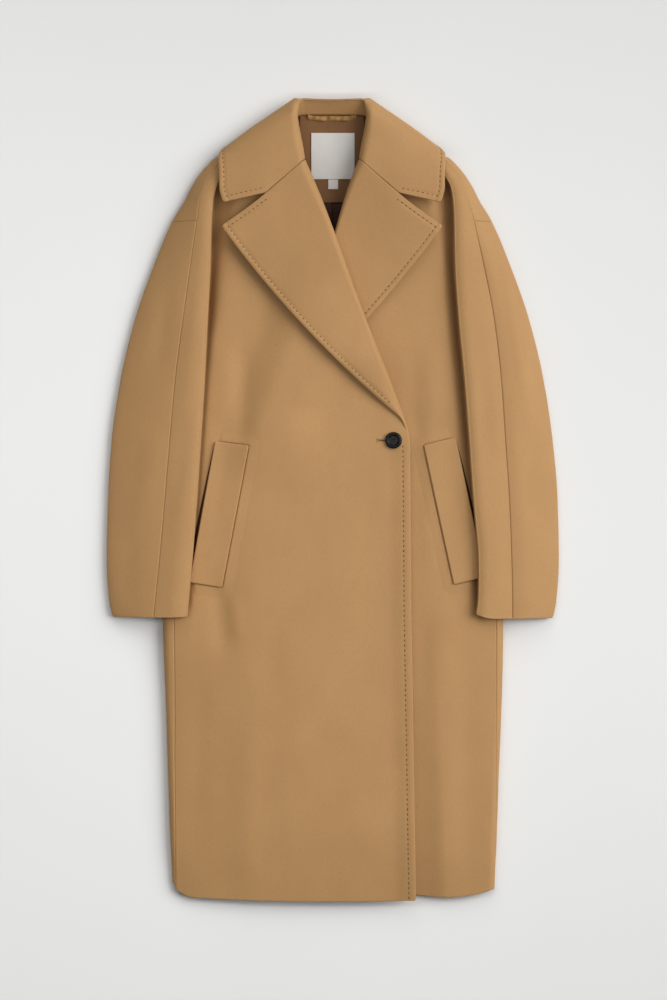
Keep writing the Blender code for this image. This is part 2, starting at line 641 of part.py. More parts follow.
def loop_points(steps):
    """The hanger loop: a narrow band that sags from the neck seam."""
    grid = []
    for share in np.linspace(-1, 1, steps + 1):
        sag = LOOP_DROP * (1 - np.abs(share) ** 5)
        across = np.array([0.5, -0.5]) * LOOP_WIDTH
        y = FACING_TOP - LOOP_INSET - sag + across
        z = neck_floor(y) + 2 * SEAM + FACING + LOOP_THICK
        grid.append(np.stack([np.full(2, share * LOOP_REACH), y, z], axis=-1))
    return np.array(grid)


# Objects

def srgb(red, green, blue):
    """Linear colour from 8-bit values."""
    return [((v / 255 + 0.055) / 1.055) ** 2.4 for v in (red, green, blue)] + [1.0]


def finish(name, colour, roughness):
    material = bpy.data.materials.new(name)
    material.use_nodes = True
    shader = material.node_tree.nodes["Principled BSDF"]
    shader.inputs["Base Color"].default_value = colour
    shader.inputs["Roughness"].default_value = roughness
    shader.inputs["Metallic"].default_value = 0.0
    return material


def add(name, mesh, material, collection):
    mesh.materials.append(material)
    mesh.shade_smooth()
    mesh.set_sharp_from_angle(angle=math.radians(40))
    piece = bpy.data.objects.new(name, mesh)
    collection.objects.link(piece)
    return piece


def wall(name, grid, thickness, material, collection, up_cell):
    """Cloth of one thickness behind a grid of points. up_cell is a cell whose outer face looks up
    (or down, when its number is given as negative through ~)."""
    rows, columns = grid.shape[:2]
    faces = [(i * columns + j, i * columns + j + 1, (i + 1) * columns + j + 1, (i + 1) * columns + j)
             for i in range(rows - 1) for j in range(columns - 1)]
    row, column = up_cell[0], abs(up_cell[1])
    across = grid[row, column + 1] - grid[row, column]
    along = grid[row + 1, column] - grid[row, column]
    looks_up = np.cross(across, along)[2] > 0
    if looks_up != (up_cell[1] >= 0):
        faces = [face[::-1] for face in faces]
    mesh = bpy.data.meshes.new(name)
    mesh.from_pydata(grid.reshape(-1, 3).tolist(), [], faces)
    piece = add(name, mesh, material, collection)
    solid = piece.modifiers.new("Cloth", "SOLIDIFY")
    solid.thickness = thickness
    solid.offset = -1
    solid.use_even_offset = False
    solid.use_quality_normals = True
    return piece


def make_button(material, collection, cutters):
    """A turned button with a raised rim, and four holes for the thread."""
    x, y = BUTTON_AT
    base = front_height(RIGHT, np.array(x), np.array(y)) + CLEAR
    radius, height = BUTTON_RADIUS, BUTTON_HEIGHT
    outline = [(radius * out, 0, height * up) for out, up in BUTTON_PROFILE]
    mesh = bpy.data.meshes.new("button")
    mesh.from_pydata(outline, [(i, i + 1) for i in range(len(outline) - 1)], [])
    piece = add("button", mesh, material, collection)
    piece.location = (x, y, base)
    screw = piece.modifiers.new("Turned", "SCREW")
    screw.steps = screw.render_steps = 24
    screw.use_merge_vertices = True
    screw.merge_threshold = 0.0001
    for k in range(4):
        angle = math.pi / 4 + k * math.pi / 2
        hole = bpy.data.meshes.new("thread_hole")
        shape = bmesh.new()
        bmesh.ops.create_cone(shape, cap_ends=True, segments=8, radius1=BUTTON_HOLE, radius2=BUTTON_HOLE,
                              depth=4 * height)
        shape.to_mesh(hole)
        shape.free()
        cutter = bpy.data.objects.new(f"thread_hole_{k + 1}", hole)
        off = BUTTON_HOLE_OFF * np.array([math.cos(angle), math.sin(angle)])
        cutter.location = (x + off[0], y + off[1], base)
        cutter.hide_render = True
        cutter.display_type = "WIRE"
        cutters.objects.link(cutter)
        cut = piece.modifiers.new(f"Hole {k + 1}", "BOOLEAN")
        cut.operation = "DIFFERENCE"
        cut.object = cutter


def main():
    for thing in list(bpy.data.objects):
        bpy.data.objects.remove(thing, do_unlink=True)
    coat = bpy.data.collections.new("double_breasted_coat")
    cutters = bpy.data.collections.new("cutters")
    bpy.context.scene.collection.children.link(coat)
    bpy.context.scene.collection.children.link(cutters)
    wool = finish("camel wool", srgb(186, 146, 99), 0.90)
    inside = finish("neck facing wool", srgb(150, 108, 66), 0.90)
    satin = finish("satin lining", srgb(96, 64, 36), 0.40)
    cord = finish("satin loop", srgb(160, 116, 66), 0.35)
    woven = finish("woven label", srgb(238, 237, 232), 0.70)
    horn = finish("black button", srgb(30, 29, 30), 0.35)

    body_rows = [-0.575, -0.545, -0.49, -0.42, -0.34, -0.26, -0.18, -0.10, -0.02, 0.02]
    body_rows += [0.055, 0.085, 0.112, 0.1335, 0.152, 0.18, 0.21, ARMPIT]
    arm_rows = [ARMHOLE_START, ARMPIT_TURN, 0.32, 0.37]
    upper = [0.45, 0.47, 0.49, 0.505, 0.516]
    for side, hem in ((RIGHT, HEM_RIGHT), (LEFT, HEM_LEFT)):
        rows = [hem] + body_rows + arm_rows + [0.395, CROSS_SEAM] + upper[:4] + [0.535, 0.568]
        grid = front_points(side, rows, 4, 12)
        wall(f"front_{name_of(side)}", grid, CLOTH, wool, coat, (6, 8))

    rows = [HEM_BACK] + body_rows + [0.246, 0.251, 0.256] + arm_rows + [CROSS_SEAM] + upper
    rows += [0.54, 0.56, 0.577]
    wall("back", back_points(rows, 8, 3), CLOTH, wool, coat, (6, ~9))

    for side in (RIGHT, LEFT):
        t = np.concatenate([[0, 0.05], np.linspace(0.12, 1, 11)[:-1], [0.997, 1]])
        wall(f"lapel_{name_of(side)}", lapel_points(side, t, 6, 6), DOUBLE, wool, coat, (6, 10))

    last = 2 * COLLAR_MIDDLE
    u = np.concatenate([[0, 0.04], np.arange(0.5, 3, 0.5), np.arange(3, 7, 0.33), [7, 8]])
    u = np.concatenate([u, (last - u)[-2::-1]])
    grid = collar_points(u, 7, 6)
    for row, mirror in ((0, 1), (1, 1), (-1, -1), (-2, -1)):
        grid[row] += GORGE_GAP * np.array([GORGE_OFF[0] * mirror, GORGE_OFF[1], 0])
    wall("collar", grid, DOUBLE, wool, coat, (1, 10))
    u = np.linspace(4, last - 4, 17)
    wall("collar_stand", stand_points(u, 2), CLOTH, wool, coat, (9, 0))

    lower = [-0.174, -0.155, -0.09, -0.02, 0.06, 0.13, 0.19, ARMPIT] + arm_rows
    below, above = CROSS_SEAM - SEAM / 2, CROSS_SEAM + SEAM / 2
    for side in (RIGHT, LEFT):
        name = name_of(side)
        grid = sleeve_front_points(side, lower + [CROSS_SEAM] + upper, 3, 6, 4)
        wall(f"sleeve_front_{name}", grid, CLOTH, wool, coat, (5, 0))
        grid = sleeve_back_points(side, lower + [below - LIP, below], 6, 3, 8)
        wall(f"sleeve_back_{name}", grid, CLOTH, wool, coat, (5, 0))
        grid = sleeve_back_points(side, [above, above + LIP] + upper, 6, 3, 5)
        wall(f"shoulder_{name}", grid, CLOTH, wool, coat, (1, 0))
        wall(f"pocket_welt_{name}", welt_points(side, 3, 9), WELT, wool, coat, (2, 1))

    neck_rows = [FACING_EDGE, 0.46, 0.472, 0.485, 0.503, 0.52, 0.54, 0.56, FACING_TOP]
    wall("neck_facing", facing_points(neck_rows, 4), FACING, inside, coat, (2, 1))
    rows = [LINING_END, 0.38, FACING_EDGE - SEAM]
    wall("back_lining", lining_points(rows), LINING, satin, coat, (0, 0))
    wall("neck_label", patch_points(LABEL, 6, 3), LABEL_THICK, woven, coat, (2, 1))
    wall("size_tab", patch_points(SIZE_TAB, 2, 1), LABEL_THICK, woven, coat, (0, 0))
    wall("hanger_loop", loop_points(16), LOOP_THICK, cord, coat, (8, 0))
    make_button(horn, coat, cutters)


main()
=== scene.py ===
# %% [markdown]
# A long camel wool coat lies flat on its back, buttoned once, and is seen from straight above.
# The imported model gives each panel as a plain wall of cloth. This lesson lays a finer cloth over every
# panel: the same sections, drawn closer together, with rounded edges, seams, soft folds and stitches.
# The first cell loads the imported coat, keeps its box and prints its size.

# %% The imported coat
import json
import math

import bmesh
import bpy
import numpy as np
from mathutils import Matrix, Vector

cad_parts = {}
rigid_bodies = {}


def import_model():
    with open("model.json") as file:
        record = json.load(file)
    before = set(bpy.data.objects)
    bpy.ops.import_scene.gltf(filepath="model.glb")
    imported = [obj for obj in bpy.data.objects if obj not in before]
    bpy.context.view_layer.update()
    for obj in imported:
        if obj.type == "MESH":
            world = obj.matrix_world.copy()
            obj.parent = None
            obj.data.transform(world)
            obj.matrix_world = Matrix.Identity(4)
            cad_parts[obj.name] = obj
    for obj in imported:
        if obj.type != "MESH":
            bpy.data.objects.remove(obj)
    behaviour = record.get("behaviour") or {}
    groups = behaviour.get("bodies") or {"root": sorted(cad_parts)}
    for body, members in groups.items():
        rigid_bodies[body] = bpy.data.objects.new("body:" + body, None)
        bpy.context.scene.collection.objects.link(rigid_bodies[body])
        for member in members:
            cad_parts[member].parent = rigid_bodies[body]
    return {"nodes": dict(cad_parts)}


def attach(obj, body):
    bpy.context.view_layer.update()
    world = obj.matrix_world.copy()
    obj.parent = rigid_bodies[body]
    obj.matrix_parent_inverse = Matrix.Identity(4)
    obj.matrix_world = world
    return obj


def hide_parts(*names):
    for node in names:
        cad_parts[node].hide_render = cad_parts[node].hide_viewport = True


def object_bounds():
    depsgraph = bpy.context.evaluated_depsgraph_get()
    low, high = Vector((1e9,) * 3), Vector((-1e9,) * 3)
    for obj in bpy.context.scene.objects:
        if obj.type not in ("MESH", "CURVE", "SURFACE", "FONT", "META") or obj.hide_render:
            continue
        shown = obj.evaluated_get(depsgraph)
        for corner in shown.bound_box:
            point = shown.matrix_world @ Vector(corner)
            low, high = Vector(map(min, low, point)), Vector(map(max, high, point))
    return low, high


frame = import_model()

cad_box = [list(corner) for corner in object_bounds()]
cad_size = [round(1000 * (high - low)) for low, high in zip(*cad_box)]
print("packed coat:", cad_size, "mm,", len(frame["nodes"]), "nodes")

# %% [markdown]
# The picture was taken from straight above with a long lens. A camera that isn't turned looks down the
# Z axis with +Y at the top, so only its height and its lens need working out: the lens is chosen so that
# the picture's long side covers one and a half metres of floor.

# %% Camera
VIEW_LENGTH = 1.5                  # metres of floor along the picture's long side
VIEW_CENTRE = (0.00225, 0.0)       # the point of the floor in the middle of the picture
EYE_HEIGHT = 4.5
COAT_LEVEL = 0.025                 # the scale holds at the height of the fronts
SENSOR = 36.0                      # millimetres


def put(name, data):
    """A new object in the scene."""
    made = bpy.data.objects.new(name, data)
    bpy.context.scene.collection.objects.link(made)
    return made


lens = bpy.data.cameras.new("view")
lens.sensor_width = SENSOR
lens.lens = SENSOR * EYE_HEIGHT / VIEW_LENGTH
camera = put("view", lens)
camera.location = (*VIEW_CENTRE, EYE_HEIGHT + COAT_LEVEL)
bpy.context.scene.camera = camera
print("lens:", lens.lens, "mm at", EYE_HEIGHT, "m")

# %% [markdown]
# Studio light for flat clothes is wide and soft. A sun with a wide angle acts like a large lamp far away.
# The strong one stands at the right here, so the far sleeve is shaded and each fold has a dark side. A weak
# one beyond the collar puts a thin shadow under both lapels. A long strip lamp hangs over the middle: it is
# near, so the collar and the hem get a little less light than the pockets, and it is hidden from the camera.
# The standard view keeps colours as mixed.

# %% Light and floor
KEY_TOWARD, KEY_SPREAD, KEY_STRENGTH = (0.77, 0.26, 0.67), 46, 2.45     # direction, degrees, watts per m2
REAR_TOWARD, REAR_SPREAD, REAR_STRENGTH = (-0.06, 0.78, 0.56), 40, 0.68
STRIP_SIZE, STRIP_AT, STRIP_POWER = (3.2, 0.4), (0.0, 0.03, 1.35), 9.5    # metres, place, watts
WORLD_STRENGTH = 0.11
FLOOR_SIZE, FLOOR_DROP = 6.0, 0.0004


def srgb(red, green, blue):
    """Linear colour from 8-bit values."""
    return [((v / 255 + 0.055) / 1.055) ** 2.4 for v in (red, green, blue)] + [1.0]


def soft_sun(name, toward, spread, strength):
    """A wide, far lamp in the given direction."""
    light = bpy.data.lights.new(name, "SUN")
    light.angle = math.radians(spread)
    light.energy = strength
    put(name, light).rotation_euler = Vector(toward).to_track_quat("Z", "Y").to_euler()


soft_sun("key", KEY_TOWARD, KEY_SPREAD, KEY_STRENGTH)
soft_sun("rear", REAR_TOWARD, REAR_SPREAD, REAR_STRENGTH)
strip = bpy.data.lights.new("strip", "AREA")
strip.shape = "RECTANGLE"
strip.size, strip.size_y = STRIP_SIZE
strip.energy = STRIP_POWER
strip_lamp = put("strip", strip)
strip_lamp.location = STRIP_AT
strip_lamp.visible_camera = False
world = bpy.data.worlds.new("studio")
world.use_nodes = True
world.node_tree.nodes["Background"].inputs["Color"].default_value = srgb(252, 253, 255)
world.node_tree.nodes["Background"].inputs["Strength"].default_value = WORLD_STRENGTH
bpy.context.scene.world = world
bpy.context.scene.view_settings.view_transform = "Standard"

sheet = bpy.data.meshes.new("floor")
reach = FLOOR_SIZE / 2
corners = [(-reach, -reach), (reach, -reach), (reach, reach), (-reach, reach)]
sheet.from_pydata([(x, y, -FLOOR_DROP) for x, y in corners], [], [(0, 1, 2, 3)])
floor = put("floor", sheet)
print("lamps:", KEY_STRENGTH, "and", REAR_STRENGTH, "W/m2, and a strip of", STRIP_POWER, "W")

# %% [markdown]
# Brushed coating wool has no weave to see. What shows is a short nap: fine fibres combed down the coat,
# and faint clouds where the nap lies differently. Both are noise, so they go into one shader group that
# every woollen material shares. The group only puts out masks, and each material mixes its own colours.

# %% Shader group for the nap
COMB, CLOUD_STRETCH = (0.9, 0.22, 0.9), (1.0, 0.6, 1.0)     # fibres and clouds run down the coat


def new_group(name, inputs, outputs):
    """An empty shader group with named sockets, and its two ends."""
    group = bpy.data.node_groups.new(name, "ShaderNodeTree")
    for label, kind, value in inputs:
        socket = group.interface.new_socket(label, in_out="INPUT", socket_type=kind)
        if value is not None:
            socket.default_value = value
    for label in outputs:
        group.interface.new_socket(label, in_out="OUTPUT", socket_type="NodeSocketFloat")
    return group, group.nodes.new("NodeGroupInput"), group.nodes.new("NodeGroupOutput")


def feed(tree, socket, value):
    """Gives a socket its value: a link from another socket, or a plain number or colour."""
    if isinstance(value, bpy.types.NodeSocket):
        tree.links.new(value, socket)
    else:
        socket.default_value = value


def add_math(tree, operation, first, second):
    """A Math node whose two values are sockets or plain numbers."""
    node = tree.nodes.new("ShaderNodeMath")
    node.operation = operation
    for socket, value in zip(node.inputs, (first, second)):
        feed(tree, socket, value)
    return node.outputs[0]


def add_noise(tree, vector, scale, detail, stretch=None):
    """A noise texture, stretched along the cloth where a stretch is given."""
    if stretch is not None:
        mapping = tree.nodes.new("ShaderNodeMapping")
        mapping.inputs["Scale"].default_value = stretch
        tree.links.new(vector, mapping.inputs["Vector"])
        vector = mapping.outputs["Vector"]
    noise = tree.nodes.new("ShaderNodeTexNoise")
    noise.inputs["Detail"].default_value = detail
    tree.links.new(vector, noise.inputs["Vector"])
    feed(tree, noise.inputs["Scale"], scale)
    return noise.outputs["Fac"]


nap, nap_in, nap_out = new_group(
    "Nap", [("Vector", "NodeSocketVector", None), ("Fibre Size", "NodeSocketFloat", 0.0011),
            ("Cloud Size", "NodeSocketFloat", 0.05)], ["Fibre", "Cloud", "Height"])
fine_scale = add_math(nap, "DIVIDE", 1.0, nap_in.outputs["Fibre Size"])
cloud_scale = add_math(nap, "DIVIDE", 1.0, nap_in.outputs["Cloud Size"])
grain = add_noise(nap, nap_in.outputs["Vector"], fine_scale, 3.0)
comb = add_noise(nap, nap_in.outputs["Vector"], fine_scale, 2.0, COMB)
cloud = add_noise(nap, nap_in.outputs["Vector"], cloud_scale, 4.0, CLOUD_STRETCH)
fibre = add_math(nap, "MULTIPLY", add_math(nap, "ADD", grain, comb), 0.5)
nap.links.new(fibre, nap_out.inputs["Fibre"])
nap.links.new(cloud, nap_out.inputs["Cloud"])
raised_cloud = add_math(nap, "MULTIPLY", cloud, 0.3)
nap.links.new(add_math(nap, "ADD", fibre, raised_cloud), nap_out.inputs["Height"])
print("nap group:", len(nap.nodes), "nodes")

# %% [markdown]
# Satin, tape and thread are woven or twisted closely enough for the threads to show as a fine grid. Wave
# textures make even ribs, and the cloth's own UV map, laid out in metres, lets them follow the piece.

# %% Shader group for a weave
SHADE_SCALE = 60.0                 # patches of thread that are lighter or darker, to the metre
weave, weave_in, weave_out = new_group(
    "Weave", [("Vector", "NodeSocketVector", None), ("Warp Scale", "NodeSocketFloat", 700.0),
              ("Weft Scale", "NodeSocketFloat", 500.0)], ["Height", "Shade"])
ribs = []
for direction, label in (("X", "Warp Scale"), ("Y", "Weft Scale")):
    wave = weave.nodes.new("ShaderNodeTexWave")
    wave.bands_direction = direction
    wave.inputs["Distortion"].default_value = 0.6
    weave.links.new(weave_in.outputs["Vector"], wave.inputs["Vector"])
    weave.links.new(weave_in.outputs[label], wave.inputs["Scale"])
    ribs.append(wave.outputs["Fac"])
height = add_math(weave, "MULTIPLY", ribs[0], ribs[1])
weave.links.new(height, weave_out.inputs["Height"])
shade = add_noise(weave, weave_in.outputs["Vector"], SHADE_SCALE, 3.0)
weave.links.new(shade, weave_out.inputs["Shade"])
print("weave group:", len(weave.nodes), "nodes")

# %% [markdown]
# Each material places a group, mixes a dark and a light colour by its masks and raises a little bump. The
# floor and the button are smooth, and use the nap's clouds and grain for their faint marks. Values that are
# the same all over, such as the sheen of the nap, are set on the shader itself.

# %% Materials
MIX_FIRST, MIX_SECOND, MIX_RESULT = 6, 7, 2    # the colour sockets of a Mix node
SATIN = {"warp": 900.0, "weft": 700.0}
TAPE = {"warp": 620.0, "weft": 480.0}
THREAD = {"warp": 300.0, "weft": 300.0, "coordinates": "Object"}


def new_material(name, roughness, bump, coordinates):
    """A material with its shader, a coordinate output and a bump that feeds the normal."""
    material = bpy.data.materials.new(name)
    material.use_nodes = True
    tree = material.node_tree
    shader = tree.nodes["Principled BSDF"]
    shader.inputs["Roughness"].default_value = roughness
    place = tree.nodes.new("ShaderNodeTexCoord").outputs[coordinates]
    raised = tree.nodes.new("ShaderNodeBump")
    raised.inputs["Strength"].default_value = bump[0]
    raised.inputs["Distance"].default_value = bump[1]
    tree.links.new(raised.outputs["Normal"], shader.inputs["Normal"])
    return material, tree, shader, place, raised


def use_group(tree, group, place, **values):
    """A group placed in a material, with its own values."""
    node = tree.nodes.new("ShaderNodeGroup")
    node.node_tree = group
    tree.links.new(place, node.inputs["Vector"])
    for label, value in values.items():
        node.inputs[label.replace("_", " ")].default_value = value
    return node


def mix_colour(tree, factor, first, second, low=0.3, high=0.7):
    """The first colour where the mask is low, the second where it is high."""
    spread = tree.nodes.new("ShaderNodeMapRange")
    spread.inputs["From Min"].default_value = low
    spread.inputs["From Max"].default_value = high
    tree.links.new(factor, spread.inputs["Value"])
    mix = tree.nodes.new("ShaderNodeMix")
    mix.data_type = "RGBA"
    tree.links.new(spread.outputs["Result"], mix.inputs["Factor"])
    feed(tree, mix.inputs[MIX_FIRST], first)
    feed(tree, mix.inputs[MIX_SECOND], second)
    return mix.outputs[MIX_RESULT]


def wool(name, dark, light, speck):
    """Brushed wool: clouds between two shades, flecked with a third, under a soft sheen."""
    material, tree, shader, place, raised = new_material(name, 0.72, (0.35, 0.0005), "Object")
    pile = use_group(tree, nap, place)
    cloth = mix_colour(tree, pile.outputs["Cloud"], dark, light)
    flecked = mix_colour(tree, pile.outputs["Fibre"], speck, cloth, 0.26, 0.50)
    tree.links.new(flecked, shader.inputs["Base Color"])
    tree.links.new(pile.outputs["Height"], raised.inputs["Height"])
    shader.inputs["Specular IOR Level"].default_value = 0.36
    shader.inputs["Sheen Weight"].default_value = 0.10
    shader.inputs["Sheen Roughness"].default_value = 0.45
    shader.inputs["Sheen Tint"].default_value = srgb(255, 226, 186)
    return material


def woven(name, dark, light, roughness, sheen, warp, weft, coordinates="UV"):
    """Satin or tape on the piece's own UV map, or thread in the object's own space."""
    material, tree, shader, place, raised = new_material(name, roughness, (0.35, 0.0003), coordinates)
    threads = use_group(tree, weave, place, Warp_Scale=warp, Weft_Scale=weft)
    ground = mix_colour(tree, threads.outputs["Shade"], dark, light)
    ribbed = mix_colour(tree, threads.outputs["Height"], dark, ground, 0.0, 0.5)
    tree.links.new(ribbed, shader.inputs["Base Color"])
    tree.links.new(threads.outputs["Height"], raised.inputs["Height"])
    shader.inputs["Specular IOR Level"].default_value = 0.25
    shader.inputs["Sheen Weight"].default_value = sheen
    return material


def smooth(name, roughness, bump, dark, light, grain, marks):
    """A smooth surface: faint marks between two shades, and a fine grain."""
    material, tree, shader, place, raised = new_material(name, roughness, bump, "Object")
    faint = use_group(tree, nap, place, Fibre_Size=grain, Cloud_Size=marks)
    tree.links.new(mix_colour(tree, faint.outputs["Cloud"], dark, light), shader.inputs["Base Color"])
    tree.links.new(faint.outputs["Fibre"], raised.inputs["Height"])
    return material, shader


camel = wool("camel wool", srgb(175, 133, 85), srgb(180, 138, 89), srgb(165, 123, 76))
# The facing's colours are painted darker: painted shade for the inside of the neck.
inside = wool("facing wool painted dark for shade", srgb(113, 77, 44), srgb(119, 82, 47), srgb(104, 69, 38))
lining_satin = woven("lining satin", srgb(50, 25, 10), srgb(70, 40, 18), 0.55, 0.0, **SATIN)
loop_satin = woven("loop satin", srgb(140, 102, 50), srgb(186, 146, 82), 0.34, 0.1, **SATIN)
# The label's off-white is painted darker: painted shade for the inside of the neck.
tape = woven("label tape painted dark for shade", srgb(205, 202, 197), srgb(216, 213, 208), 0.65, 0.0, **TAPE)
pick_thread = woven("pick thread", srgb(92, 60, 32), srgb(122, 84, 48), 0.7, 0.1, **THREAD)
hole_thread = woven("buttonhole thread", srgb(128, 90, 52), srgb(168, 126, 82), 0.6, 0.2, **THREAD)
black_thread = woven("button thread", srgb(20, 18, 17), srgb(44, 41, 39), 0.6, 0.0, **THREAD)
paper, _ = smooth("pale floor", 0.85, (0.05, 0.001), srgb(231, 231, 229), srgb(235, 235, 233), 0.004, 0.8)
floor.data.materials.append(paper)
horn, gloss = smooth("black button", 0.36, (0.08, 0.0002), srgb(9, 8, 8), srgb(17, 15, 15), 0.0006, 0.006)
gloss.inputs["Coat Weight"].default_value = 0.04
gloss.inputs["Specular IOR Level"].default_value = 0.18
print("materials:", len(bpy.data.materials))

# %% [markdown]
# The coat is drawn from sections, the way a pattern cutter measures it: a short table gives a width or a
# height at a few places along the coat, and a smooth curve runs through them. Most of these sizes are those
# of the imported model, and a few refine it, such as how the fronts sink towards their hem. Right and left are
# the wearer's, so the right front, which laps over, is at -X.

# %% Sizes of the body
RIGHT, LEFT = -1, 1
CLOTH, DOUBLE, WELT, FACING, LINING = 0.0026, 0.0032, 0.0036, 0.0020, 0.0010    # thickness of each cloth
SEAM, CLEAR = 0.0001, 0.0008               # the gap in a seam, and between layers
SIDE_RADIUS = 0.0115
ARMPIT, ARMHOLE_START = 0.240, 0.262
ARMPIT_MIDDLE = (ARMPIT + ARMHOLE_START) / 2
HEM_RIGHT, HEM_LEFT, HEM_BACK, HEM_FADE = -0.603, -0.597, -0.597, 0.10
HEM_CORNER = {RIGHT: (0.205, 0.035, 0.015), LEFT: (0.178, 0.064, 0.011)}    # from, run, rise
HEM_BOW_RUN, HEM_BOW_RISE = 0.200, 0.0045
HEM_DROOP, HEM_DROOP_RUN, HEM_DROOP_BEND = 0.0070, 0.120, 1.6         # the fronts sink towards their hem
SIDE_DROOP, SIDE_DROOP_FROM, SIDE_DROOP_RUN = 0.0050, 0.160, 0.078    # and the right one towards its side
SIDE_DROOP_TOP, SIDE_DROOP_FADE = -0.17, 0.16                         # but only below the pockets
HEM_TUCK_FROM, HEM_TUCK_RUN, HEM_TUCK_RISE = 0.165, 0.040, 0.003
SIDE_RUN, EDGE_RUN = 0.020, 0.030          # how far the points of a side or an armhole run in
CROWN_BEND = 2.4                           # over 2 the body is flat on top
ARMPIT_SLACK, ARMPIT_EASE = 0.0015, 0.030
DIP_WIDTH = 0.034
SHOULDER_NECK, SHOULDER_SLOPE, SHOULDER_ROLL = (0.056, 0.578), 0.605, 0.090
COLLAR_LIFT, LIFT_FROM, LIFT_TO = 0.0080, 0.460, 0.545
SHOULDER_HEIGHT = COLLAR_LIFT + 2 * CLOTH + SEAM
NECK_CURVE, NECK_CURVE_FROM, NECK_CURVE_RUN = 0.006, 0.540, 0.030


def table(columns, rows):
    """Named columns from a short list of rows, the first column rising."""
    return dict(zip(columns.split(), np.array(rows, float).T))


BODY = table("y half_width crown", [
    (-0.605, 0.2400, 0.0270),
    (-0.480, 0.2445, 0.0310),
    (-0.300, 0.2505, 0.0330),
    (-0.180, 0.2545, 0.0330),
    (0.000, 0.2550, 0.0315),
    (0.120, 0.2525, 0.0295),
    (0.240, 0.2480, 0.0275),
    (0.360, 0.2400, 0.0265),
    (0.600, 0.2400, 0.0260)])
SIDE_OUT = table("y left", [
    (-0.605, 0.0045),
    (-0.410, 0.0042),
    (-0.320, 0.0050),
    (-0.187, 0.0030),
    (-0.050, 0.0000)])
SIDE_SEAM = table("y right left", [
    (-0.600, 0.0105, 0.0000),
    (-0.495, 0.0150, 0.0046),
    (-0.410, 0.0170, 0.0098),
    (-0.320, 0.0200, 0.0145),
    (-0.180, 0.0240, 0.0175),
    (0.240, 0.0240, 0.0165)])
UNDER_DIP = table("y depth run", [
    (-0.605, 0.0090, 0.048),
    (-0.400, 0.0066, 0.044),
    (-0.200, 0.0045, 0.038),
    (0.050, 0.0032, 0.032),
    (0.130, 0.0034, 0.034),
    (0.200, 0.0024, 0.034),
    (0.260, 0.0010, 0.032),
    (0.310, 0.0000, 0.030)])
ARMHOLE = table("y front back", [
    (0.262, 0.2220, 0.2370),
    (0.300, 0.2135, 0.2370),
    (0.360, 0.2100, 0.2200),
    (0.420, 0.2060, 0.1960),
    (0.455, 0.2000, 0.1790),
    (0.485, 0.1880, 0.1600),
    (0.503, 0.1740, 0.1450),
    (0.578, 0.0600, 0.0560)])
DIP = table("y ridge depth", [
    (0.255, 0.1880, 0.0000),
    (0.300, 0.1810, 0.0040),
    (0.345, 0.1710, 0.0080),
    (0.385, 0.1580, 0.0090),
    (0.430, 0.1470, 0.0090),
    (0.500, 0.1300, 0.0060)])
FRONT_EDGE = table("y right left", [
    (-0.605, 0.1260, -0.1120),
    (-0.364, 0.1220, -0.1100),
    (-0.160, 0.1185, -0.1070),
    (0.076, 0.1170, -0.1050),
    (0.100, 0.1150, -0.1030),
    (0.118, 0.1105, -0.1000)])
tables = (BODY, SIDE_OUT, SIDE_SEAM, UNDER_DIP, ARMHOLE, DIP, FRONT_EDGE)
print("tables of the body:", sum(len(sizes["y"]) for sizes in tables), "rows")

# %% [markdown]
# Thick wool makes few folds, and they are soft: long troughs and ridges that fade out at both ends. Each is
# one row here, placed where the real coat has it, with its own length, width and height, so that no
# two are alike.

# %% Soft folds of the fronts
FOLD_COLUMNS = "x0 y0 x1 y1 width height".split()
FOLD_FADE = 0.3                            # share of a fold's length that fades out at each end
FOLDS = {
    RIGHT: [
        (-0.134, 0.262, -0.135, 0.060, 0.017, -0.0028),
        (-0.160, 0.250, -0.156, 0.100, 0.024, 0.0020),
        (-0.175, -0.105, -0.160, -0.245, 0.016, -0.0025),
        (-0.196, -0.230, -0.204, -0.570, 0.026, -0.0020),
        (-0.060, -0.140, -0.040, -0.570, 0.055, 0.0018),
        (-0.150, -0.135, -0.138, -0.215, 0.010, 0.0012),
        (-0.095, -0.030, -0.088, -0.330, 0.030, -0.0010),
        (0.055, 0.060, 0.068, -0.260, 0.026, -0.0012),
        (0.030, -0.260, 0.052, -0.590, 0.030, 0.0012),
        (-0.125, -0.330, -0.135, -0.600, 0.022, 0.0010)],
    LEFT: [
        (0.146, 0.250, 0.152, 0.110, 0.022, 0.0024),
        (0.172, -0.130, 0.164, -0.300, 0.026, 0.0018),
        (0.205, -0.200, 0.200, -0.570, 0.024, -0.0020),
        (0.120, 0.210, 0.133, 0.060, 0.014, -0.0014),
        (0.150, -0.060, 0.142, -0.330, 0.018, -0.0012),
        (0.178, -0.330, 0.172, -0.590, 0.022, 0.0012)],
}


def through(at, stops, values):
    """Smooth curve through the stops that never overshoots them, held level past both ends."""
    at = np.clip(at, stops[0], stops[-1])
    step = np.diff(stops)
    slope = np.diff(values) / step
    before, after = slope[:-1], slope[1:]
    same_way = before * after > 0
    inner = np.where(same_way, 2 * before * after / np.where(same_way, before + after, 1), 0)
    tangent = np.concatenate([slope[:1], inner, slope[-1:]])
    k = np.clip(np.searchsorted(stops, at, side="right") - 1, 0, len(step) - 1)
    t = (at - stops[k]) / step[k]
    start = (1 + 2 * t) * (1 - t) ** 2 * values[k] + t * (1 - t) ** 2 * step[k] * tangent[k]
    return start + t * t * (3 - 2 * t) * values[k + 1] + t * t * (t - 1) * step[k] * tangent[k + 1]


def read(sizes, column, at):
    """A column of a table at any place along its first column."""
    return through(at, next(iter(sizes.values())), sizes[column])


def ease(t):
    """From 0 to 1, level at both ends."""
    t = np.clip(t, 0, 1)
    return t * t * (3 - 2 * t)


def hump(t):
    """From 0 up to 1, a third of the way along, and back to 0."""
    return 6.75 * t * (1 - t) ** 2


def name_of(side):
    """The wearer's side in words."""
    return "right" if side == RIGHT else "left"


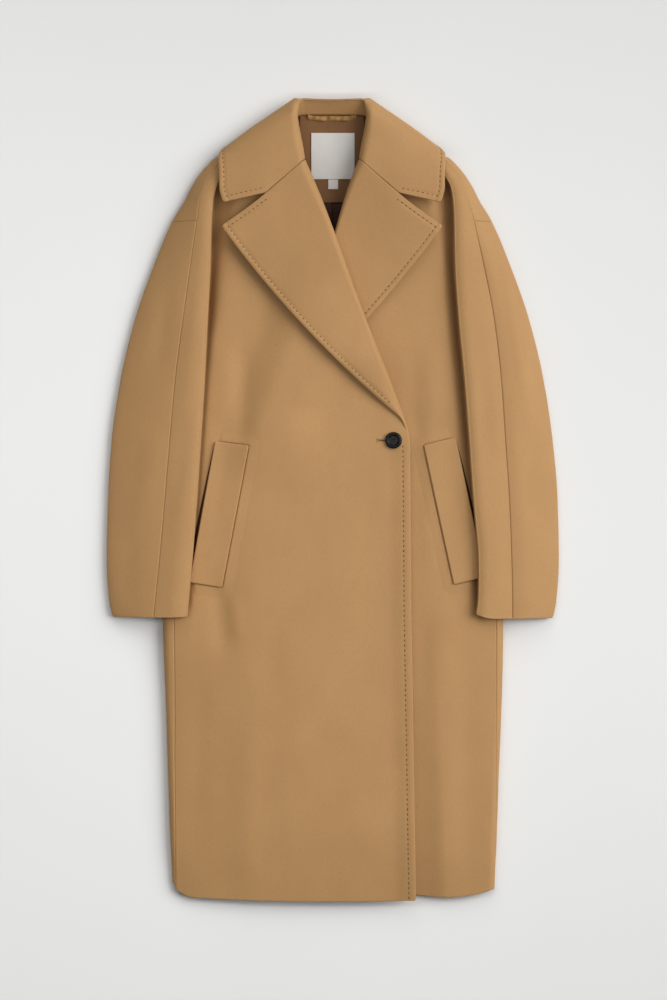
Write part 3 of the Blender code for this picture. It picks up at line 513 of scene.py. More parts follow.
def fold_relief(folds, x, y):
    """Sum of soft folds at a point: each fades across its width and towards its two ends."""
    total = 0.0 * (x + y)
    for row in folds:
        fold = dict(zip(FOLD_COLUMNS, row))
        along = np.array([fold["x1"] - fold["x0"], fold["y1"] - fold["y0"]])
        length = np.hypot(*along)
        ux, uy = along / length
        t = ((x - fold["x0"]) * ux + (y - fold["y0"]) * uy) / length
        off = (x - fold["x0"]) * uy - (y - fold["y0"]) * ux
        fade = ease(t / FOLD_FADE) * ease((1 - t) / FOLD_FADE)
        total = total + fold["height"] * np.exp(-(off / fold["width"]) ** 2) * fade
    return total


print("folds of the fronts:", {name_of(side): len(rows) for side, rows in FOLDS.items()})

# %% [markdown]
# The lapels are wide and turn back on a soft roll. A row of the table gives the roll line on both sides and
# the height of the roll's top, from the button up to the neck. The right lapel's outer edge stands off the
# front, which is why it throws the widest shadow on the coat.

# %% Sizes of the lapels
LAPEL = table("y right left top_right top_left", [
    (0.118, 0.1105, -0.1000, 0.0410, 0.0372),
    (0.148, 0.0990, -0.0870, 0.0425, 0.0370),
    (0.183, 0.0860, -0.0740, 0.0450, 0.0366),
    (0.223, 0.0700, -0.0600, 0.0475, 0.0360),
    (0.277, 0.0485, -0.0410, 0.0500, 0.0350),
    (0.327, 0.0300, -0.0220, 0.0520, 0.0346),
    (0.367, 0.0160, -0.0080, 0.0530, 0.0343),
    (0.400, 0.0040, 0.0030, 0.0530, 0.0345),
    (0.448, -0.0140, 0.0173, 0.0515, 0.0390),
    (0.485, -0.0285, 0.0294, 0.0500, 0.0440),
    (0.513, -0.0400, 0.0400, 0.0480, 0.0480)])
LAPEL_LIFT = table("along right left", [
    (0.00, 0.0030, 0.0000),
    (0.12, 0.0062, 0.0016),
    (0.25, 0.0082, 0.0030),
    (0.50, 0.0110, 0.0062),
    (0.65, 0.0120, 0.0082),
    (0.80, 0.0132, 0.0108),
    (1.00, 0.0160, 0.0160)])
LAPEL_FOOT = {RIGHT: (0.0982, 0.1262), LEFT: (0.0795, 0.1375)}
LAPEL_TIP = (-0.1660, 0.4095)
LAPEL_BOW = {RIGHT: 0.0120, LEFT: 0.0085}
LAPEL_CROWN = {RIGHT: 0.0020, LEFT: 0.0}
ROLL_START, ROLL_LEAST, ROLL_GAP = 0.133, 0.0048, 0.0011
TOE, TOE_ROLL = -0.10, 0.0013                              # below its foot the right lapel dies into the edge
TOE_BEND, TOE_END = (0.1085, 0.1170), (0.1115, 0.0965)    # where its outer edge bends and ends
TAPER_FROM, TOE_SINK = 0.16, 0.0030                         # where it starts to get thin, and how it ends
LAPEL_LEAN = 0.9                               # under 1 a row's outer end runs ahead of the roll line
LAP, LAP_RAMP = CLOTH + CLEAR, 0.065           # the right front lies over the left one
LAPEL_PUFF, PUFF_PAST, PUFF_RISE = 0.0090, 0.010, 0.11    # and over its lapel
TIP_ROUND = 0.0040
EDGE_LIFT, EDGE_LIFT_RUN, EDGE_LIFT_FADE = 0.0042, 0.034, 0.03    # the right edge stands off the left front


def lapel_outer(side, t):
    """Outer edge of a lapel, foot to tip: a straight line bowed outwards."""
    foot, tip = np.array(LAPEL_FOOT[side]), np.array(LAPEL_TIP)
    run = tip - foot
    out = np.array([-run[1], run[0]]) / np.hypot(*run)
    point = foot + np.outer(t, run) + np.outer(4 * LAPEL_BOW[side] * t * (1 - t), out)
    return point * (1 if side == RIGHT else -1, 1)


def lap_relief(x, y):
    """How far the left front and its lapel lift the right front that lies over them."""
    edge = np.where(y < LAPEL["y"][0], read(FRONT_EDGE, "left", y), read(LAPEL, "left", y))
    over = ease((x - edge + LAP_RAMP) / LAP_RAMP)
    foot, tip = LAPEL_FOOT[LEFT], LAPEL_TIP
    share = np.clip((y - foot[1]) / (tip[1] - foot[1]), 0, 1)
    outer = -foot[0] - (tip[0] - foot[0]) * share
    lapel = ease((outer + PUFF_PAST + LAP_RAMP - x) / LAP_RAMP) * ease(y / PUFF_RISE)
    return over * (LAP + LAPEL_PUFF * lapel)


print("lapel rows:", len(LAPEL["y"]))

# %% [markdown]
# One function gives the height of a front's outer face anywhere. Lapels, welts, sleeves and the button are
# all placed from it, so a fold that is moved takes along whatever lies on it.

# %% Height of the fronts and the rounded sides
BUTTON_AT = (0.0920, 0.0893)


def back_lift(y):
    """The back lies on the floor, and on the collar's fall near the neck."""
    return COLLAR_LIFT * ease((y - LIFT_FROM) / (LIFT_TO - LIFT_FROM))


def half_width(side, y):
    """Half the width of the body, a little more on the left side of the skirt."""
    return read(BODY, "half_width", y) + (read(SIDE_OUT, "left", y) if side == LEFT else 0)


def sunk_front(side, x, y):
    """How far a front sinks: to its hem, the right one to its side, the left one beside the edge over it."""
    hem = HEM_RIGHT if side == RIGHT else HEM_LEFT
    sunk = HEM_DROOP * np.clip(1 - (y - hem) / HEM_DROOP_RUN, 0, 1) ** HEM_DROOP_BEND
    if side == RIGHT:
        out = np.clip((-x - SIDE_DROOP_FROM) / SIDE_DROOP_RUN, 0, 1.2)
        return sunk + SIDE_DROOP * out ** 2 * ease((SIDE_DROOP_TOP - y) / SIDE_DROOP_FADE)
    edge = np.where(y < LAPEL["y"][0], read(FRONT_EDGE, "right", y), read(LAPEL, "right", y))
    off = np.maximum(x - edge, 0)
    return sunk + read(UNDER_DIP, "depth", y) * ease(1 - off / read(UNDER_DIP, "run", y))


def front_height(side, x, y):
    """Outer face of a front."""
    d = np.abs(x)
    level = 2 * SIDE_RADIUS
    share = np.clip(d / half_width(side, y), 0, 1)
    full = level + (read(BODY, "crown", y) - level) * (1 - share ** CROWN_BEND)
    full = full - read(DIP, "depth", y) * ease((d - read(DIP, "ridge", y)) / DIP_WIDTH)
    shoulder = SHOULDER_NECK[1] - (d - SHOULDER_NECK[0]) * SHOULDER_SLOPE
    drop = ease((shoulder - y) / SHOULDER_ROLL)
    height = SHOULDER_HEIGHT + (full - SHOULDER_HEIGHT) * drop + fold_relief(FOLDS[side], x, y)
    height = height - sunk_front(side, x, y)
    return height + lap_relief(x, y) if side == RIGHT else height


def side_point(side, s, y):
    """(d, z) on the body's rounded side, s along it from its outermost line, upwards."""
    half = half_width(side, y)
    quarter = SIDE_RADIUS * math.pi / 2
    angle = np.clip(s / SIDE_RADIUS, -math.pi / 2, math.pi / 2)
    d = half - SIDE_RADIUS * (1 - np.cos(angle)) - np.maximum(np.abs(s) - quarter, 0)
    top = front_height(side, side * (half - SIDE_RADIUS), y)
    z = top / 2 * (1 + np.sin(angle))
    return d, np.where(s > quarter, front_height(side, side * d, y), z)


def seam_at(side, y):
    """Where the side seam lies, as a distance along the side path."""
    return read(SIDE_SEAM, name_of(side), y)


def armhole_front(side, y):
    """Distance of the front's armhole edge from the middle, from the top of the side seam upwards."""
    seam_end = side_point(side, seam_at(side, ARMPIT), np.array(ARMPIT))[0]
    turn = np.clip((y - ARMPIT) / (ARMHOLE_START - ARMPIT), 0, 1)
    return seam_end + (read(ARMHOLE, "front", y) - seam_end) * turn


def back_edge(side, y):
    """Where the back ends, as a distance along the side path."""
    half = half_width(side, y)
    flat = -(SIDE_RADIUS * math.pi / 2 + half - SIDE_RADIUS - read(ARMHOLE, "back", y))
    turn = np.clip((y - ARMPIT) / (ARMHOLE_START - ARMPIT), 0, 1)
    slack = ARMPIT_SLACK * np.clip((y - ARMPIT) / ARMPIT_EASE + 1, 0, 1)
    return (seam_at(side, y) - slack) * (1 - turn) + flat * turn


def hem_rise(side, x, y, hem):
    """How far a point moves up because the hem isn't straight, fading above it."""
    d = np.abs(x)
    start, run, rise = (np.where(x < 0, *pair) for pair in zip(HEM_CORNER[RIGHT], HEM_CORNER[LEFT]))
    corner = rise * np.clip((d - start) / run, 0, 1.3) ** 2
    if side == RIGHT:
        bow = HEM_BOW_RISE * (d / HEM_BOW_RUN) ** 2
    else:
        bow = HEM_TUCK_RISE * np.clip((HEM_TUCK_FROM - x) / HEM_TUCK_RUN, 0, 1.4) ** 2
    return (bow + corner) * ease(1 - (y - hem) / HEM_FADE)


print("front at the button:", round(1000 * float(front_height(RIGHT, *np.array(BUTTON_AT))), 1), "mm up")

# %% [markdown]
# A cut edge of thick wool is round, and a seam is a narrow valley where both edges turn down. Bevels on a
# finished solid would round the wrong edges too, so the cloth is built as a grid with its points drawn
# closer beside every edge, and its two faces fall back there: both at a free edge, the outer one at a seam.

# %% Points of a grid
EDGE_STEPS = np.array([0.0002, 0.0005, 0.0009, 0.0015, 0.0024])    # close points beside an edge
CLOSE_MOST = 0.4                                                   # share of a width that they may take
BAND, BAND_STEP = 0.0165, 0.0009                                   # a stitched edge has a wider fine band


def spaced(start, end, steps, lips, band=0.0):
    """Even steps from start to end, closer beside the ends that lips marks, and fine as far as band there."""
    length = abs(end - start)
    near = np.concatenate([EDGE_STEPS, np.arange(EDGE_STEPS[-1] + BAND_STEP, band, BAND_STEP)])
    near = near * min(1.0, CLOSE_MOST * length / near[-1])
    head, tail = (np.concatenate([[0], near]) if lip else np.zeros(1) for lip in lips)
    middle = np.linspace(head[-1], length - tail[-1], steps + 1)
    line = np.concatenate([head[:-1], middle, length - tail[-2::-1]])
    return start + np.sign(end - start) * line


def arc(grid, axis):
    """Distance along the cloth from the first row (axis 0) or the first column (axis 1)."""
    step = np.linalg.norm(np.diff(grid, axis=axis), axis=-1)
    start = np.zeros_like(np.take(step, [0], axis=axis))
    return np.concatenate([start, np.cumsum(step, axis=axis)], axis=axis)


def edge_distances(grid):
    """Distance along the cloth to its first row, last row, first column and last column."""
    along, across = arc(grid, 0), arc(grid, 1)
    return along, along[-1:] - along, across, across[:, -1:] - across


def unit(vectors):
    """The vectors, each brought to a length of one."""
    return vectors / np.maximum(np.linalg.norm(vectors, axis=-1, keepdims=True), 1e-12)


def normals(grid):
    """Direction square to the cloth at each point."""
    return unit(np.cross(np.gradient(grid, axis=1), np.gradient(grid, axis=0)))


def round_corner(grid, row_end, column_end, radius):
    """Pulls a square corner of the grid into a round one, as a square is mapped to a disc."""
    a, b = (edge_distances(grid)[k] for k in (0 if row_end == 0 else 1, 2 if column_end == 0 else 3))
    down = unit(np.gradient(grid, axis=0)) * (1 if row_end == 0 else -1)
    side = unit(np.gradient(grid, axis=1)) * (1 if column_end == 0 else -1)
    p, q = np.clip(1 - a / radius, 0, 1), np.clip(1 - b / radius, 0, 1)
    shrink = 1 - np.maximum(p, q) / np.maximum(np.hypot(p, q), 1e-9)
    shrink = np.where((p > 0) & (q > 0), shrink, 0)
    return grid + (radius * p * shrink)[..., None] * down + (radius * q * shrink)[..., None] * side


print("close points beside an edge:", len(EDGE_STEPS), "within", 1000 * EDGE_STEPS[-1], "mm")

# %% [markdown]
# A cloth is two layers of one grid, closed round the rim. The outer layer also carries the shallow trough
# that a row of stitches pulls in, with a plump edge outside it. The UV map is laid out in metres along the
# cloth, so that a weave follows the piece, and the same lengths give the size of its cut.

# %% A shell of cloth from a grid of points
EDGE_SHARE = 0.46                                                  # of its thickness rounds a free edge
SEAM_DEPTH, SEAM_REACH = 0.0008, 0.0016
STITCH_IN, FRONT_STITCH_IN = 0.0088, 0.0114                        # pick stitches, from the edge
STITCH_DEPTH, STITCH_WIDTH = 0.0005, 0.0020                        # the trough that they pull in
EDGE_PUFF, PUFF_AT, PUFF_WIDTH = 0.0005, 0.48, 0.33                # the plump edge, the last two as shares


def across_edge(k, weight):
    """A weight along an edge, shaped to spread over the grid: rows have one for each column, and so on."""
    weight = np.asarray(weight, float)
    return weight[None, :] if k < 2 and weight.ndim else weight[:, None] if weight.ndim else weight


def shell(name, grid, thickness, finish, edges, cell, stitched=(None,) * 4, inset=STITCH_IN, looks_up=True):
    """A closed cloth behind a grid of outer points. edges names its first row, last row, first column and
    last column as free (1), sewn (0) or plain (None). stitched gives the same edges a weight for the trough
    at the inset. cell is a place where the outer face looks up, or down."""
    out = normals(grid)
    flip = (out[cell][2] > 0) != looks_up
    out = -out if flip else out
    thickness = np.broadcast_to(thickness, grid.shape[:2])
    drop, rise = np.zeros(grid.shape[:2]), np.zeros(grid.shape[:2])
    for k, distance in enumerate(edge_distances(grid)):
        if edges[k] is not None:
            free = across_edge(k, edges[k])
            radius = EDGE_SHARE * thickness
            t = np.clip(1 - distance / radius, 0, 1)
            rounded = radius * (1 - np.sqrt(1 - t * t))
            sewn = SEAM_DEPTH * np.clip(1 - distance / SEAM_REACH, 0, 1) ** 2
            drop = np.maximum(drop, free * rounded + (1 - free) * sewn)
            rise = np.maximum(rise, free * rounded)
        if stitched[k] is not None:
            trough = STITCH_DEPTH * np.exp(-((distance - inset) / STITCH_WIDTH) ** 2)
            puff = EDGE_PUFF * np.exp(-((distance / inset - PUFF_AT) / PUFF_WIDTH) ** 2)
            drop = drop + across_edge(k, stitched[k]) * (trough - puff)
    outer = grid - out * drop[..., None]
    inner = grid - out * (thickness - rise)[..., None]
    rows, columns = grid.shape[:2]
    index = np.arange(rows * columns).reshape(rows, columns)
    quads = np.stack([index[:-1, :-1], index[:-1, 1:], index[1:, 1:], index[1:, :-1]], axis=-1).reshape(-1, 4)
    rim = np.concatenate([index[0, :-1], index[:-1, -1], index[-1, :0:-1], index[:0:-1, 0]])
    after, count = np.roll(rim, -1), rows * columns
    wall = np.stack([after, rim, rim + count, after + count], axis=-1)
    faces = np.concatenate([quads, quads[:, ::-1] + count, wall])
    mesh = bpy.data.meshes.new(name)
    mesh.from_pydata(np.concatenate([outer, inner]).reshape(-1, 3).tolist(), [],
                     (faces[:, ::-1] if flip else faces).tolist())
    cut = np.stack([arc(grid, 1), arc(grid, 0)], axis=-1).reshape(-1, 2)
    corners = np.zeros(len(mesh.loops), np.int32)
    mesh.loops.foreach_get("vertex_index", corners)
    mesh.uv_layers.new(name="cut").data.foreach_set("uv", np.concatenate([cut, cut])[corners].ravel())
    mesh.materials.append(finish)
    mesh.shade_smooth()
    return put(name, mesh), outer


def stand_for(piece, node):
    """Attaches a piece to the coat and hides the solid that it stands for."""
    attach(piece, "root")
    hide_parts(node)


def lay(piece, node):
    """A cloth in place of its solid."""
    stand_for(piece, node)


print("free edges: rounded by", EDGE_SHARE, "of the thickness")

# %% [markdown]
# The fronts and the back are rows of points from hem to shoulder. The back wraps up round both sides, so the
# side seams lie on the front of the coat, as they do on the real one. The inner edge of a front is its free
# edge below the button, and above it the underside of the roll, where the lapel begins. Beside the inner fold
# of a sleeve the front sinks into a deep gap, and a table says how deep and how wide that is.

# %% Grids of the fronts and the back
GAP = {
    RIGHT: table("y depth width", [
        (-0.178, 0.0000, 0.0030), (-0.150, 0.0030, 0.0030), (0.100, 0.0035, 0.0035), (0.180, 0.0050, 0.0045),
        (0.235, 0.0090, 0.0060), (0.275, 0.0165, 0.0078), (0.310, 0.0190, 0.0092), (0.390, 0.0195, 0.0138),
        (0.450, 0.0155, 0.0155), (0.490, 0.0080, 0.0130), (0.520, 0.0000, 0.0100)]),
    LEFT: table("y depth width", [
        (-0.182, 0.0000, 0.0060), (-0.165, 0.0080, 0.0060), (-0.130, 0.0120, 0.0062),
        (-0.100, 0.0090, 0.0065), (0.000, 0.0090, 0.0072), (0.110, 0.0120, 0.0080),
        (0.210, 0.0150, 0.0092), (0.300, 0.0170, 0.0098), (0.420, 0.0165, 0.0105),
        (0.480, 0.0090, 0.0105), (0.520, 0.0000, 0.0100)])}
GAP_LEVEL, GAP_END = 0.006, 0.022              # under the sleeve the front stays low, then comes back up
GAP_FLOOR, GAP_CURVE = 0.0065, 1.25            # it stays above the back, and is steepest at the sleeve
NEAR_SLEEVE, NEAR_STEPS = 0.065, 32            # finer points where the sleeve's fold lies on the front
NEAR_UNDER, NEAR_GAP = 0.012, 0.003            # they start under it, clear of the points at the side
INNER_POINTS, INNER_GAP = 70, 0.005            # of the roll line, and from it to the free edge's last point


def edge_lift(off, y):
    """How far the right front's edge stands off the left front below the lapel."""
    return EDGE_LIFT * ease(1 - np.abs(off) / EDGE_LIFT_RUN) * ease((LAPEL["y"][0] - y) / EDGE_LIFT_FADE)


def lapel_taper(side, t):
    """How far the right lapel has run out towards its toe, from 0 to 1."""
    return np.clip((TAPER_FROM - t) / (TAPER_FROM - TOE), 0, 1) if side == RIGHT else 0 * t


def roll_rows(side, t):
    """Roll line, row direction, outer edge, roll radius, front's lower face and toe share, along a lapel."""
    name = name_of(side)
    y = ROLL_START + t * (LAPEL["y"][-1] - ROLL_START)
    line = np.where(y < LAPEL["y"][0], read(FRONT_EDGE, name, y), read(LAPEL, name, y))
    roll = np.stack([line, y], axis=-1)
    toe = np.clip(t / TOE, 0, 1)
    outer = lapel_outer(side, np.clip(t, 0, 1) ** LAPEL_LEAN)
    share, bend, end = toe[:, None], np.array(TOE_BEND), np.array(TOE_END)
    outer = (1 - share) ** 2 * outer + 2 * share * (1 - share) * bend + share ** 2 * end
    reach = np.linalg.norm(outer - roll, axis=-1)
    toward = (outer - roll) / reach[:, None]
    under = front_height(side, roll[:, 0], y) - CLOTH + (edge_lift(0, y) if side == RIGHT else 0)
    radius = np.maximum((read(LAPEL, "top_" + name, y) - under) / 2, ROLL_LEAST)
    radius = radius + (TOE_ROLL - radius) * ease(lapel_taper(side, t))
    return roll, toward, outer, radius, under, toe


def front_inner(side, y):
    """Inner edge of a front: its free edge, then the roll line less the roll, then the neck."""
    first = TOE if side == RIGHT else 0
    roll, toward, _, radius, _, toe = roll_rows(side, np.linspace(first, 1, INNER_POINTS))
    edge = roll + toward * ((radius + ROLL_GAP) * (1 - ease(toe)))[:, None]
    neck = np.stack([COLLAR_FOLD["sx"][:4] - 2 * CLEAR, COLLAR_FOLD["sy"][:4] + CLEAR], axis=-1)
    neck = neck * (-side, 1)
    below = FRONT_EDGE["y"] < edge[0, 1] - INNER_GAP
    free = np.stack([FRONT_EDGE[name_of(side)], FRONT_EDGE["y"]], axis=-1)[below]
    line = np.concatenate([free, edge, neck])
    line = line[np.argsort(line[:, 1])]
    return np.interp(y, line[:, 1], line[:, 0])


def sleeve_gap(side, x, y):
    """How far a front sinks beside the inner fold of the sleeve on it, and for a little way under it."""
    clear = read(SLEEVE, "fold_" + name_of(side), y) - np.abs(x)
    seen = np.exp(-(np.maximum(clear, 0) / read(GAP[side], "width", y)) ** GAP_CURVE)
    depth = np.minimum(read(GAP[side], "depth", y), front_height(side, x, y) - GAP_FLOOR)
    return depth * seen * ease((clear + GAP_END) / (GAP_END - GAP_LEVEL))


def front_points(side, rows, side_steps, steps):
    """A front from its side seam or armhole to its inner edge, one row of points for each y."""
    hem = HEM_RIGHT if side == RIGHT else HEM_LEFT
    grid = []
    for y in rows:
        inner, fold = front_inner(side, y), read(SLEEVE, "fold_" + name_of(side), y)
        if y <= ARMPIT:
            s = spaced(seam_at(side, y) + SEAM / 2, SIDE_RADIUS * math.pi / 2 + SIDE_RUN, side_steps, (1, 0))
            d, z = side_point(side, s, y)
        else:
            start = armhole_front(side, y)
            most = min(EDGE_RUN, CLOSE_MOST * (start - abs(inner)))
            run = np.clip(start - fold - NEAR_UNDER - NEAR_GAP, NEAR_GAP, most)
            d = spaced(start, start - run, side_steps, (1, 0))
            z = front_height(side, side * d, y)
        first = min(d[-1] - NEAR_GAP, fold + NEAR_UNDER)
        reach = min(NEAR_SLEEVE, CLOSE_MOST * abs(side * first - inner))
        near = side * np.linspace(first, first - reach, NEAR_STEPS + 1)
        x = np.concatenate([near, spaced(near[-1], inner, steps, (0, 1), BAND)[1:]])
        z = np.concatenate([z, front_height(side, x, y)])
        x = np.concatenate([side * d, x])
        z = z - sleeve_gap(side, x, y)
        if side == RIGHT:
            z = z + edge_lift(x - inner, y)
        grid.append(np.stack([x, y + hem_rise(side, x, y, hem), z], axis=-1))
    return np.array(grid)


def face_height(side, x, y):
    """A front's outer face with its gap beside the sleeve and its lifted edge."""
    height = front_height(side, x, y) - sleeve_gap(side, x, y)
    return height + edge_lift(x - front_inner(side, y), y) if side == RIGHT else height


def back_points(rows, side_steps, steps):
    """The back from one side seam under the coat to the other."""
    grid = []
    for y in rows:
        halves = []
        for side in (RIGHT, LEFT):
            edge = back_edge(side, y) - SEAM / 2
            inner = min(edge, -SIDE_RADIUS * math.pi / 2) - EDGE_RUN
            d, z = side_point(side, spaced(edge, inner, side_steps, (1, 0)), y)
            halves.append(np.stack([side * d, z], axis=-1))
        middle = np.linspace(halves[0][-1], halves[1][-1], steps + 1)[1:-1]
        path = np.concatenate([halves[0], middle, halves[1][::-1]])
        x, z = path[:, 0], path[:, 1] + back_lift(y)
        hollow = NECK_CURVE * ease((y - NECK_CURVE_FROM) / NECK_CURVE_RUN) * (x / SHOULDER_NECK[0]) ** 2
        grid.append(np.stack([x, y + hem_rise(RIGHT, x, y, HEM_BACK) - hollow, z], axis=-1))
    return np.array(grid)


deepest = {name_of(side): round(1000 * rows["depth"].max(), 1) for side, rows in GAP.items()}
print("deepest gap beside a sleeve:", deepest, "mm")

# %% [markdown]
# The collar is given by five points on each section, because its fall turns from lying on the fronts to
# lying under the back. A half ellipse through the first three makes the rolled fold, and a smooth curve
# through the last three makes the fall. Its inner band, the stand, hangs from the fold to the neck seam.

# %% Sizes of the collar
COLLAR_FOLD = table("u sx sy sz ax ay az bx by bz", [
    (0, -.0500, .5013, .0220, -.0400, .5095, .0350, -.0500, .5013, .0480),
    (1, -.0545, .5230, .0215, -.0430, .5290, .0345, -.0545, .5230, .0475),
    (2, -.0590, .5440, .0210, -.0470, .5490, .0335, -.0590, .5440, .0460),
    (3, -.0605, .5670, .0205, -.0510, .5750, .0330, -.0610, .5740, .0440),
    (4, -.0565, .5780, .0250, -.0505, .5848, .0362, -.0625, .5890, .0370),
    (5, -.0500, .5950, .0300, -.0500, .5990, .0325, -.0565, .6031, .0235),
    (6, -.0420, .5990, .0276, -.0430, .6008, .0286, -.0470, .6020, .0225),
    (7, -.0220, .5984, .0270, -.0230, .6001, .0279, -.0250, .6002, .0225),
    (8, .0000, .5980, .0268, .0000, .5996, .0277, .0000, .5998, .0225)])
COLLAR_FALL = table("u mx my mz ex ey ez", [
    (0, -.0995, .4587, .0452, -.1630, .4445, .0430),
    (1, -.1080, .4870, .0462, -.1688, .4680, .0425),
    (2, -.1130, .5160, .0445, -.1690, .4900, .0410),
    (3, -.1160, .5400, .0395, -.1705, .5080, .0355),
    (4, -.1165, .5530, .0340, -.1705, .5175, .0280),
    (5, -.1140, .5635, .0255, -.1675, .5250, .0180),
    (6, -.0990, .5710, .0090, -.1520, .5325, .0040),
    (7, -.0440, .5905, .0030, -.0850, .5300, .0000),
    (8, .0000, .5925, .0030, .0000, .5290, .0000)])
NECK_SEAM = table("u x y z", [
    (4, -.0560, .5700, .0165),
    (5, -.0500, .5768, .0145),
    (6, -.0385, .5785, .0138),
    (7, -.0210, .5787, .0136),
    (8, .0000, .5787, .0136)])
COLLAR_MIDDLE = COLLAR_FOLD["u"][-1]
STAND_TOP = -0.01
GORGE_GAP, GORGE_OFF = 0.0004, (-0.635, 0.773)


def collar_controls(u):
    """The collar's five control points at each section, on both halves."""
    mirrored = np.minimum(u, 2 * COLLAR_MIDDLE - u)
    sign = np.where(u > COLLAR_MIDDLE, -1, 1)
    points = {}
    for letter in "sabme":
        sheet = COLLAR_FOLD if letter in "sab" else COLLAR_FALL
        x, y, z = (read(sheet, letter + axis, mirrored) for axis in "xyz")
        points[letter] = np.stack([x * sign, y, z], axis=-1)
    return points, mirrored


def collar_points(u, turn_steps, share):
    """The collar from under its fold to its outer edge. share runs from the fold (0) to the edge (2)."""
    points, station = collar_controls(u)
    angle = np.linspace(0, math.pi, turn_steps + 1)[:, None]
    grid = []
    for i in range(len(u)):
        s, a, b, m, e = (points[letter][i] for letter in "sabme")
        centre = (s + b) / 2
        turn = centre + (a - centre) * np.sin(angle) + (s - b) / 2 * np.cos(angle)
        stops, line = np.arange(3.0), np.stack([b, m, e])
        straight = np.stack([np.interp(share, stops, line[:, k]) for k in range(3)], axis=-1)
        curved = np.stack([through(share, stops, line[:, k]) for k in range(3)], axis=-1)
        fall = straight + (curved - straight) * min(station[i], 1)
        grid.append(np.concatenate([turn, fall]))
    return np.array(grid)


def stand_points(u, steps):
    """The collar's inner band, from its fold down to the neck seam."""
    points, station = collar_controls(u)
    sign = np.where(u > COLLAR_MIDDLE, -1, 1)
    foot = np.stack([read(NECK_SEAM, "x", station) * sign, read(NECK_SEAM, "y", station),
                     read(NECK_SEAM, "z", station)], axis=-1)
    share = spaced(STAND_TOP, 1, steps, (0, 0))[:, None]
    return np.array([top + (low - top) * share for top, low in zip(points["s"], foot)])


print("collar:", len(COLLAR_FOLD["u"]), "sections to the middle of the back")

# %% [markdown]
# A lapel is a half tube, the roll, that runs on as a nearly flat fall to its outer edge. Where the fall would
# sink into the front it is held above it, with a soft blend between the two so that no crease shows. Below
# its foot the right lapel gets narrower and thinner until it has become the rounded front edge.

# %% Grid of a lapel
HELD_BLEND, HELD_FROM = 0.0016, 0.2            # how soft the blend is, and where the fall is fully held


def soft_most(first, second):
    """The larger of two heights, with a rounded change from one to the other."""
    return 0.5 * (first + second + np.sqrt((first - second) ** 2 + HELD_BLEND ** 2))


def lapel_points(side, t, turn_steps, share):
    """A lapel from under its roll, round it and over to its outer edge. share runs from 0 to 1."""
    roll, toward, outer, radius, under, toe = roll_rows(side, t)
    reach = np.linalg.norm(outer - roll, axis=-1)
    stack = (DOUBLE + CLEAR) * (1 - ease(1.2 * lapel_taper(side, t)))
    lift = read(LAPEL_LIFT, name_of(side), t) * (1 - ease(toe))
    edge_top = front_height(side, outer[:, 0], outer[:, 1]) + stack + lift
    if side == RIGHT:
        edge_top = edge_top + edge_lift(outer[:, 0] - roll[:, 0], outer[:, 1])
    top = under + 2 * radius
    angle = np.linspace(0, math.pi, turn_steps + 1)
    grid = []
    for i in range(len(t)):
        out = radius[i] * (1 - np.sin(angle))
        z = under[i] + radius[i] * (1 - np.cos(angle))
        run = radius[i] + (reach[i] - radius[i]) * share
        point = roll[i] + np.outer(run, toward[i])
        crown = 4 * LAPEL_CROWN[side] * share * (1 - share) * (1 - max(t[i], 0) ** 4)
        flat = top[i] + (edge_top[i] - top[i]) * share + crown
        least = front_height(side, point[:, 0], point[:, 1]) + stack[i]
        if side == RIGHT:
            least = least + edge_lift(point[:, 0] - roll[i, 0], point[:, 1])
        held = flat + (soft_most(flat, least) - flat) * ease(share / HELD_FROM)
        xy = np.concatenate([roll[i] + np.outer(out, toward[i]), point])
        sunk = TOE_SINK * ease(toe[i]) ** 2
        grid.append(np.column_stack([xy, np.concatenate([z, held]) - sunk]))
    return np.array(grid)


for side in (RIGHT, LEFT):
    roll_radius = roll_rows(side, np.array([0.5]))[3][0]
    print(f"{name_of(side)} lapel: roll {2000 * roll_radius:.1f} mm high halfway up")

# %% [markdown]
# The sleeves lie on the body, each in two halves. The front half runs from the long front seam round the
# inner fold and back underneath. The back half runs over the outer edge and is flat on the floor, then
# climbs over the body's edge. The yoke of the shoulder is the same section above the cross seam. A sleeve is
# highest beside its inner fold, where it lies on the coat, and falls from there nearly straight to its outer
# edge, so that each half catches the light as one slope.

# %% Sizes of the sleeves
SLEEVE = table("y contour seam_right seam_left fold_right fold_left top", [
    (-0.174, 0.3305, 0.2675, 0.2705, 0.2160, 0.2175, 0.0455),
    (-0.150, 0.3348, 0.2650, 0.2702, 0.2140, 0.2190, 0.0465),
    (-0.090, 0.3385, 0.2585, 0.2690, 0.2085, 0.2180, 0.0480),
    (0.000, 0.3365, 0.2505, 0.2655, 0.2015, 0.2105, 0.0485),
    (0.090, 0.3315, 0.2430, 0.2596, 0.1955, 0.2040, 0.0485),
    (0.180, 0.3185, 0.2350, 0.2535, 0.1900, 0.1970, 0.0480),
    (0.270, 0.2970, 0.2234, 0.2430, 0.1855, 0.1885, 0.0465),
    (0.360, 0.2655, 0.2110, 0.2255, 0.1810, 0.1825, 0.0440),
    (0.420, 0.2400, 0.2025, 0.2120, 0.1795, 0.1815, 0.0410),
    (0.450, 0.2220, 0.1985, 0.2040, 0.1770, 0.1800, 0.0380),
    (0.470, 0.2120, 0.1920, 0.1980, 0.1715, 0.1765, 0.0355),
    (0.490, 0.1990, 0.1810, 0.1870, 0.1625, 0.1655, 0.0320),
    (0.505, 0.1860, 0.1690, 0.1730, 0.1545, 0.1570, 0.0290),
    (0.516, 0.1740, 0.1620, 0.1650, 0.1480, 0.1500, 0.0255)])
CUFFS, CROSS_SEAM = {RIGHT: -0.1760, LEFT: -0.1780}, 0.418
CUFF_ROUND, CUFF_RISE, CUFF_INNER = 0.0026, 0.006, 0.5          # soft corners, the inner one by a share
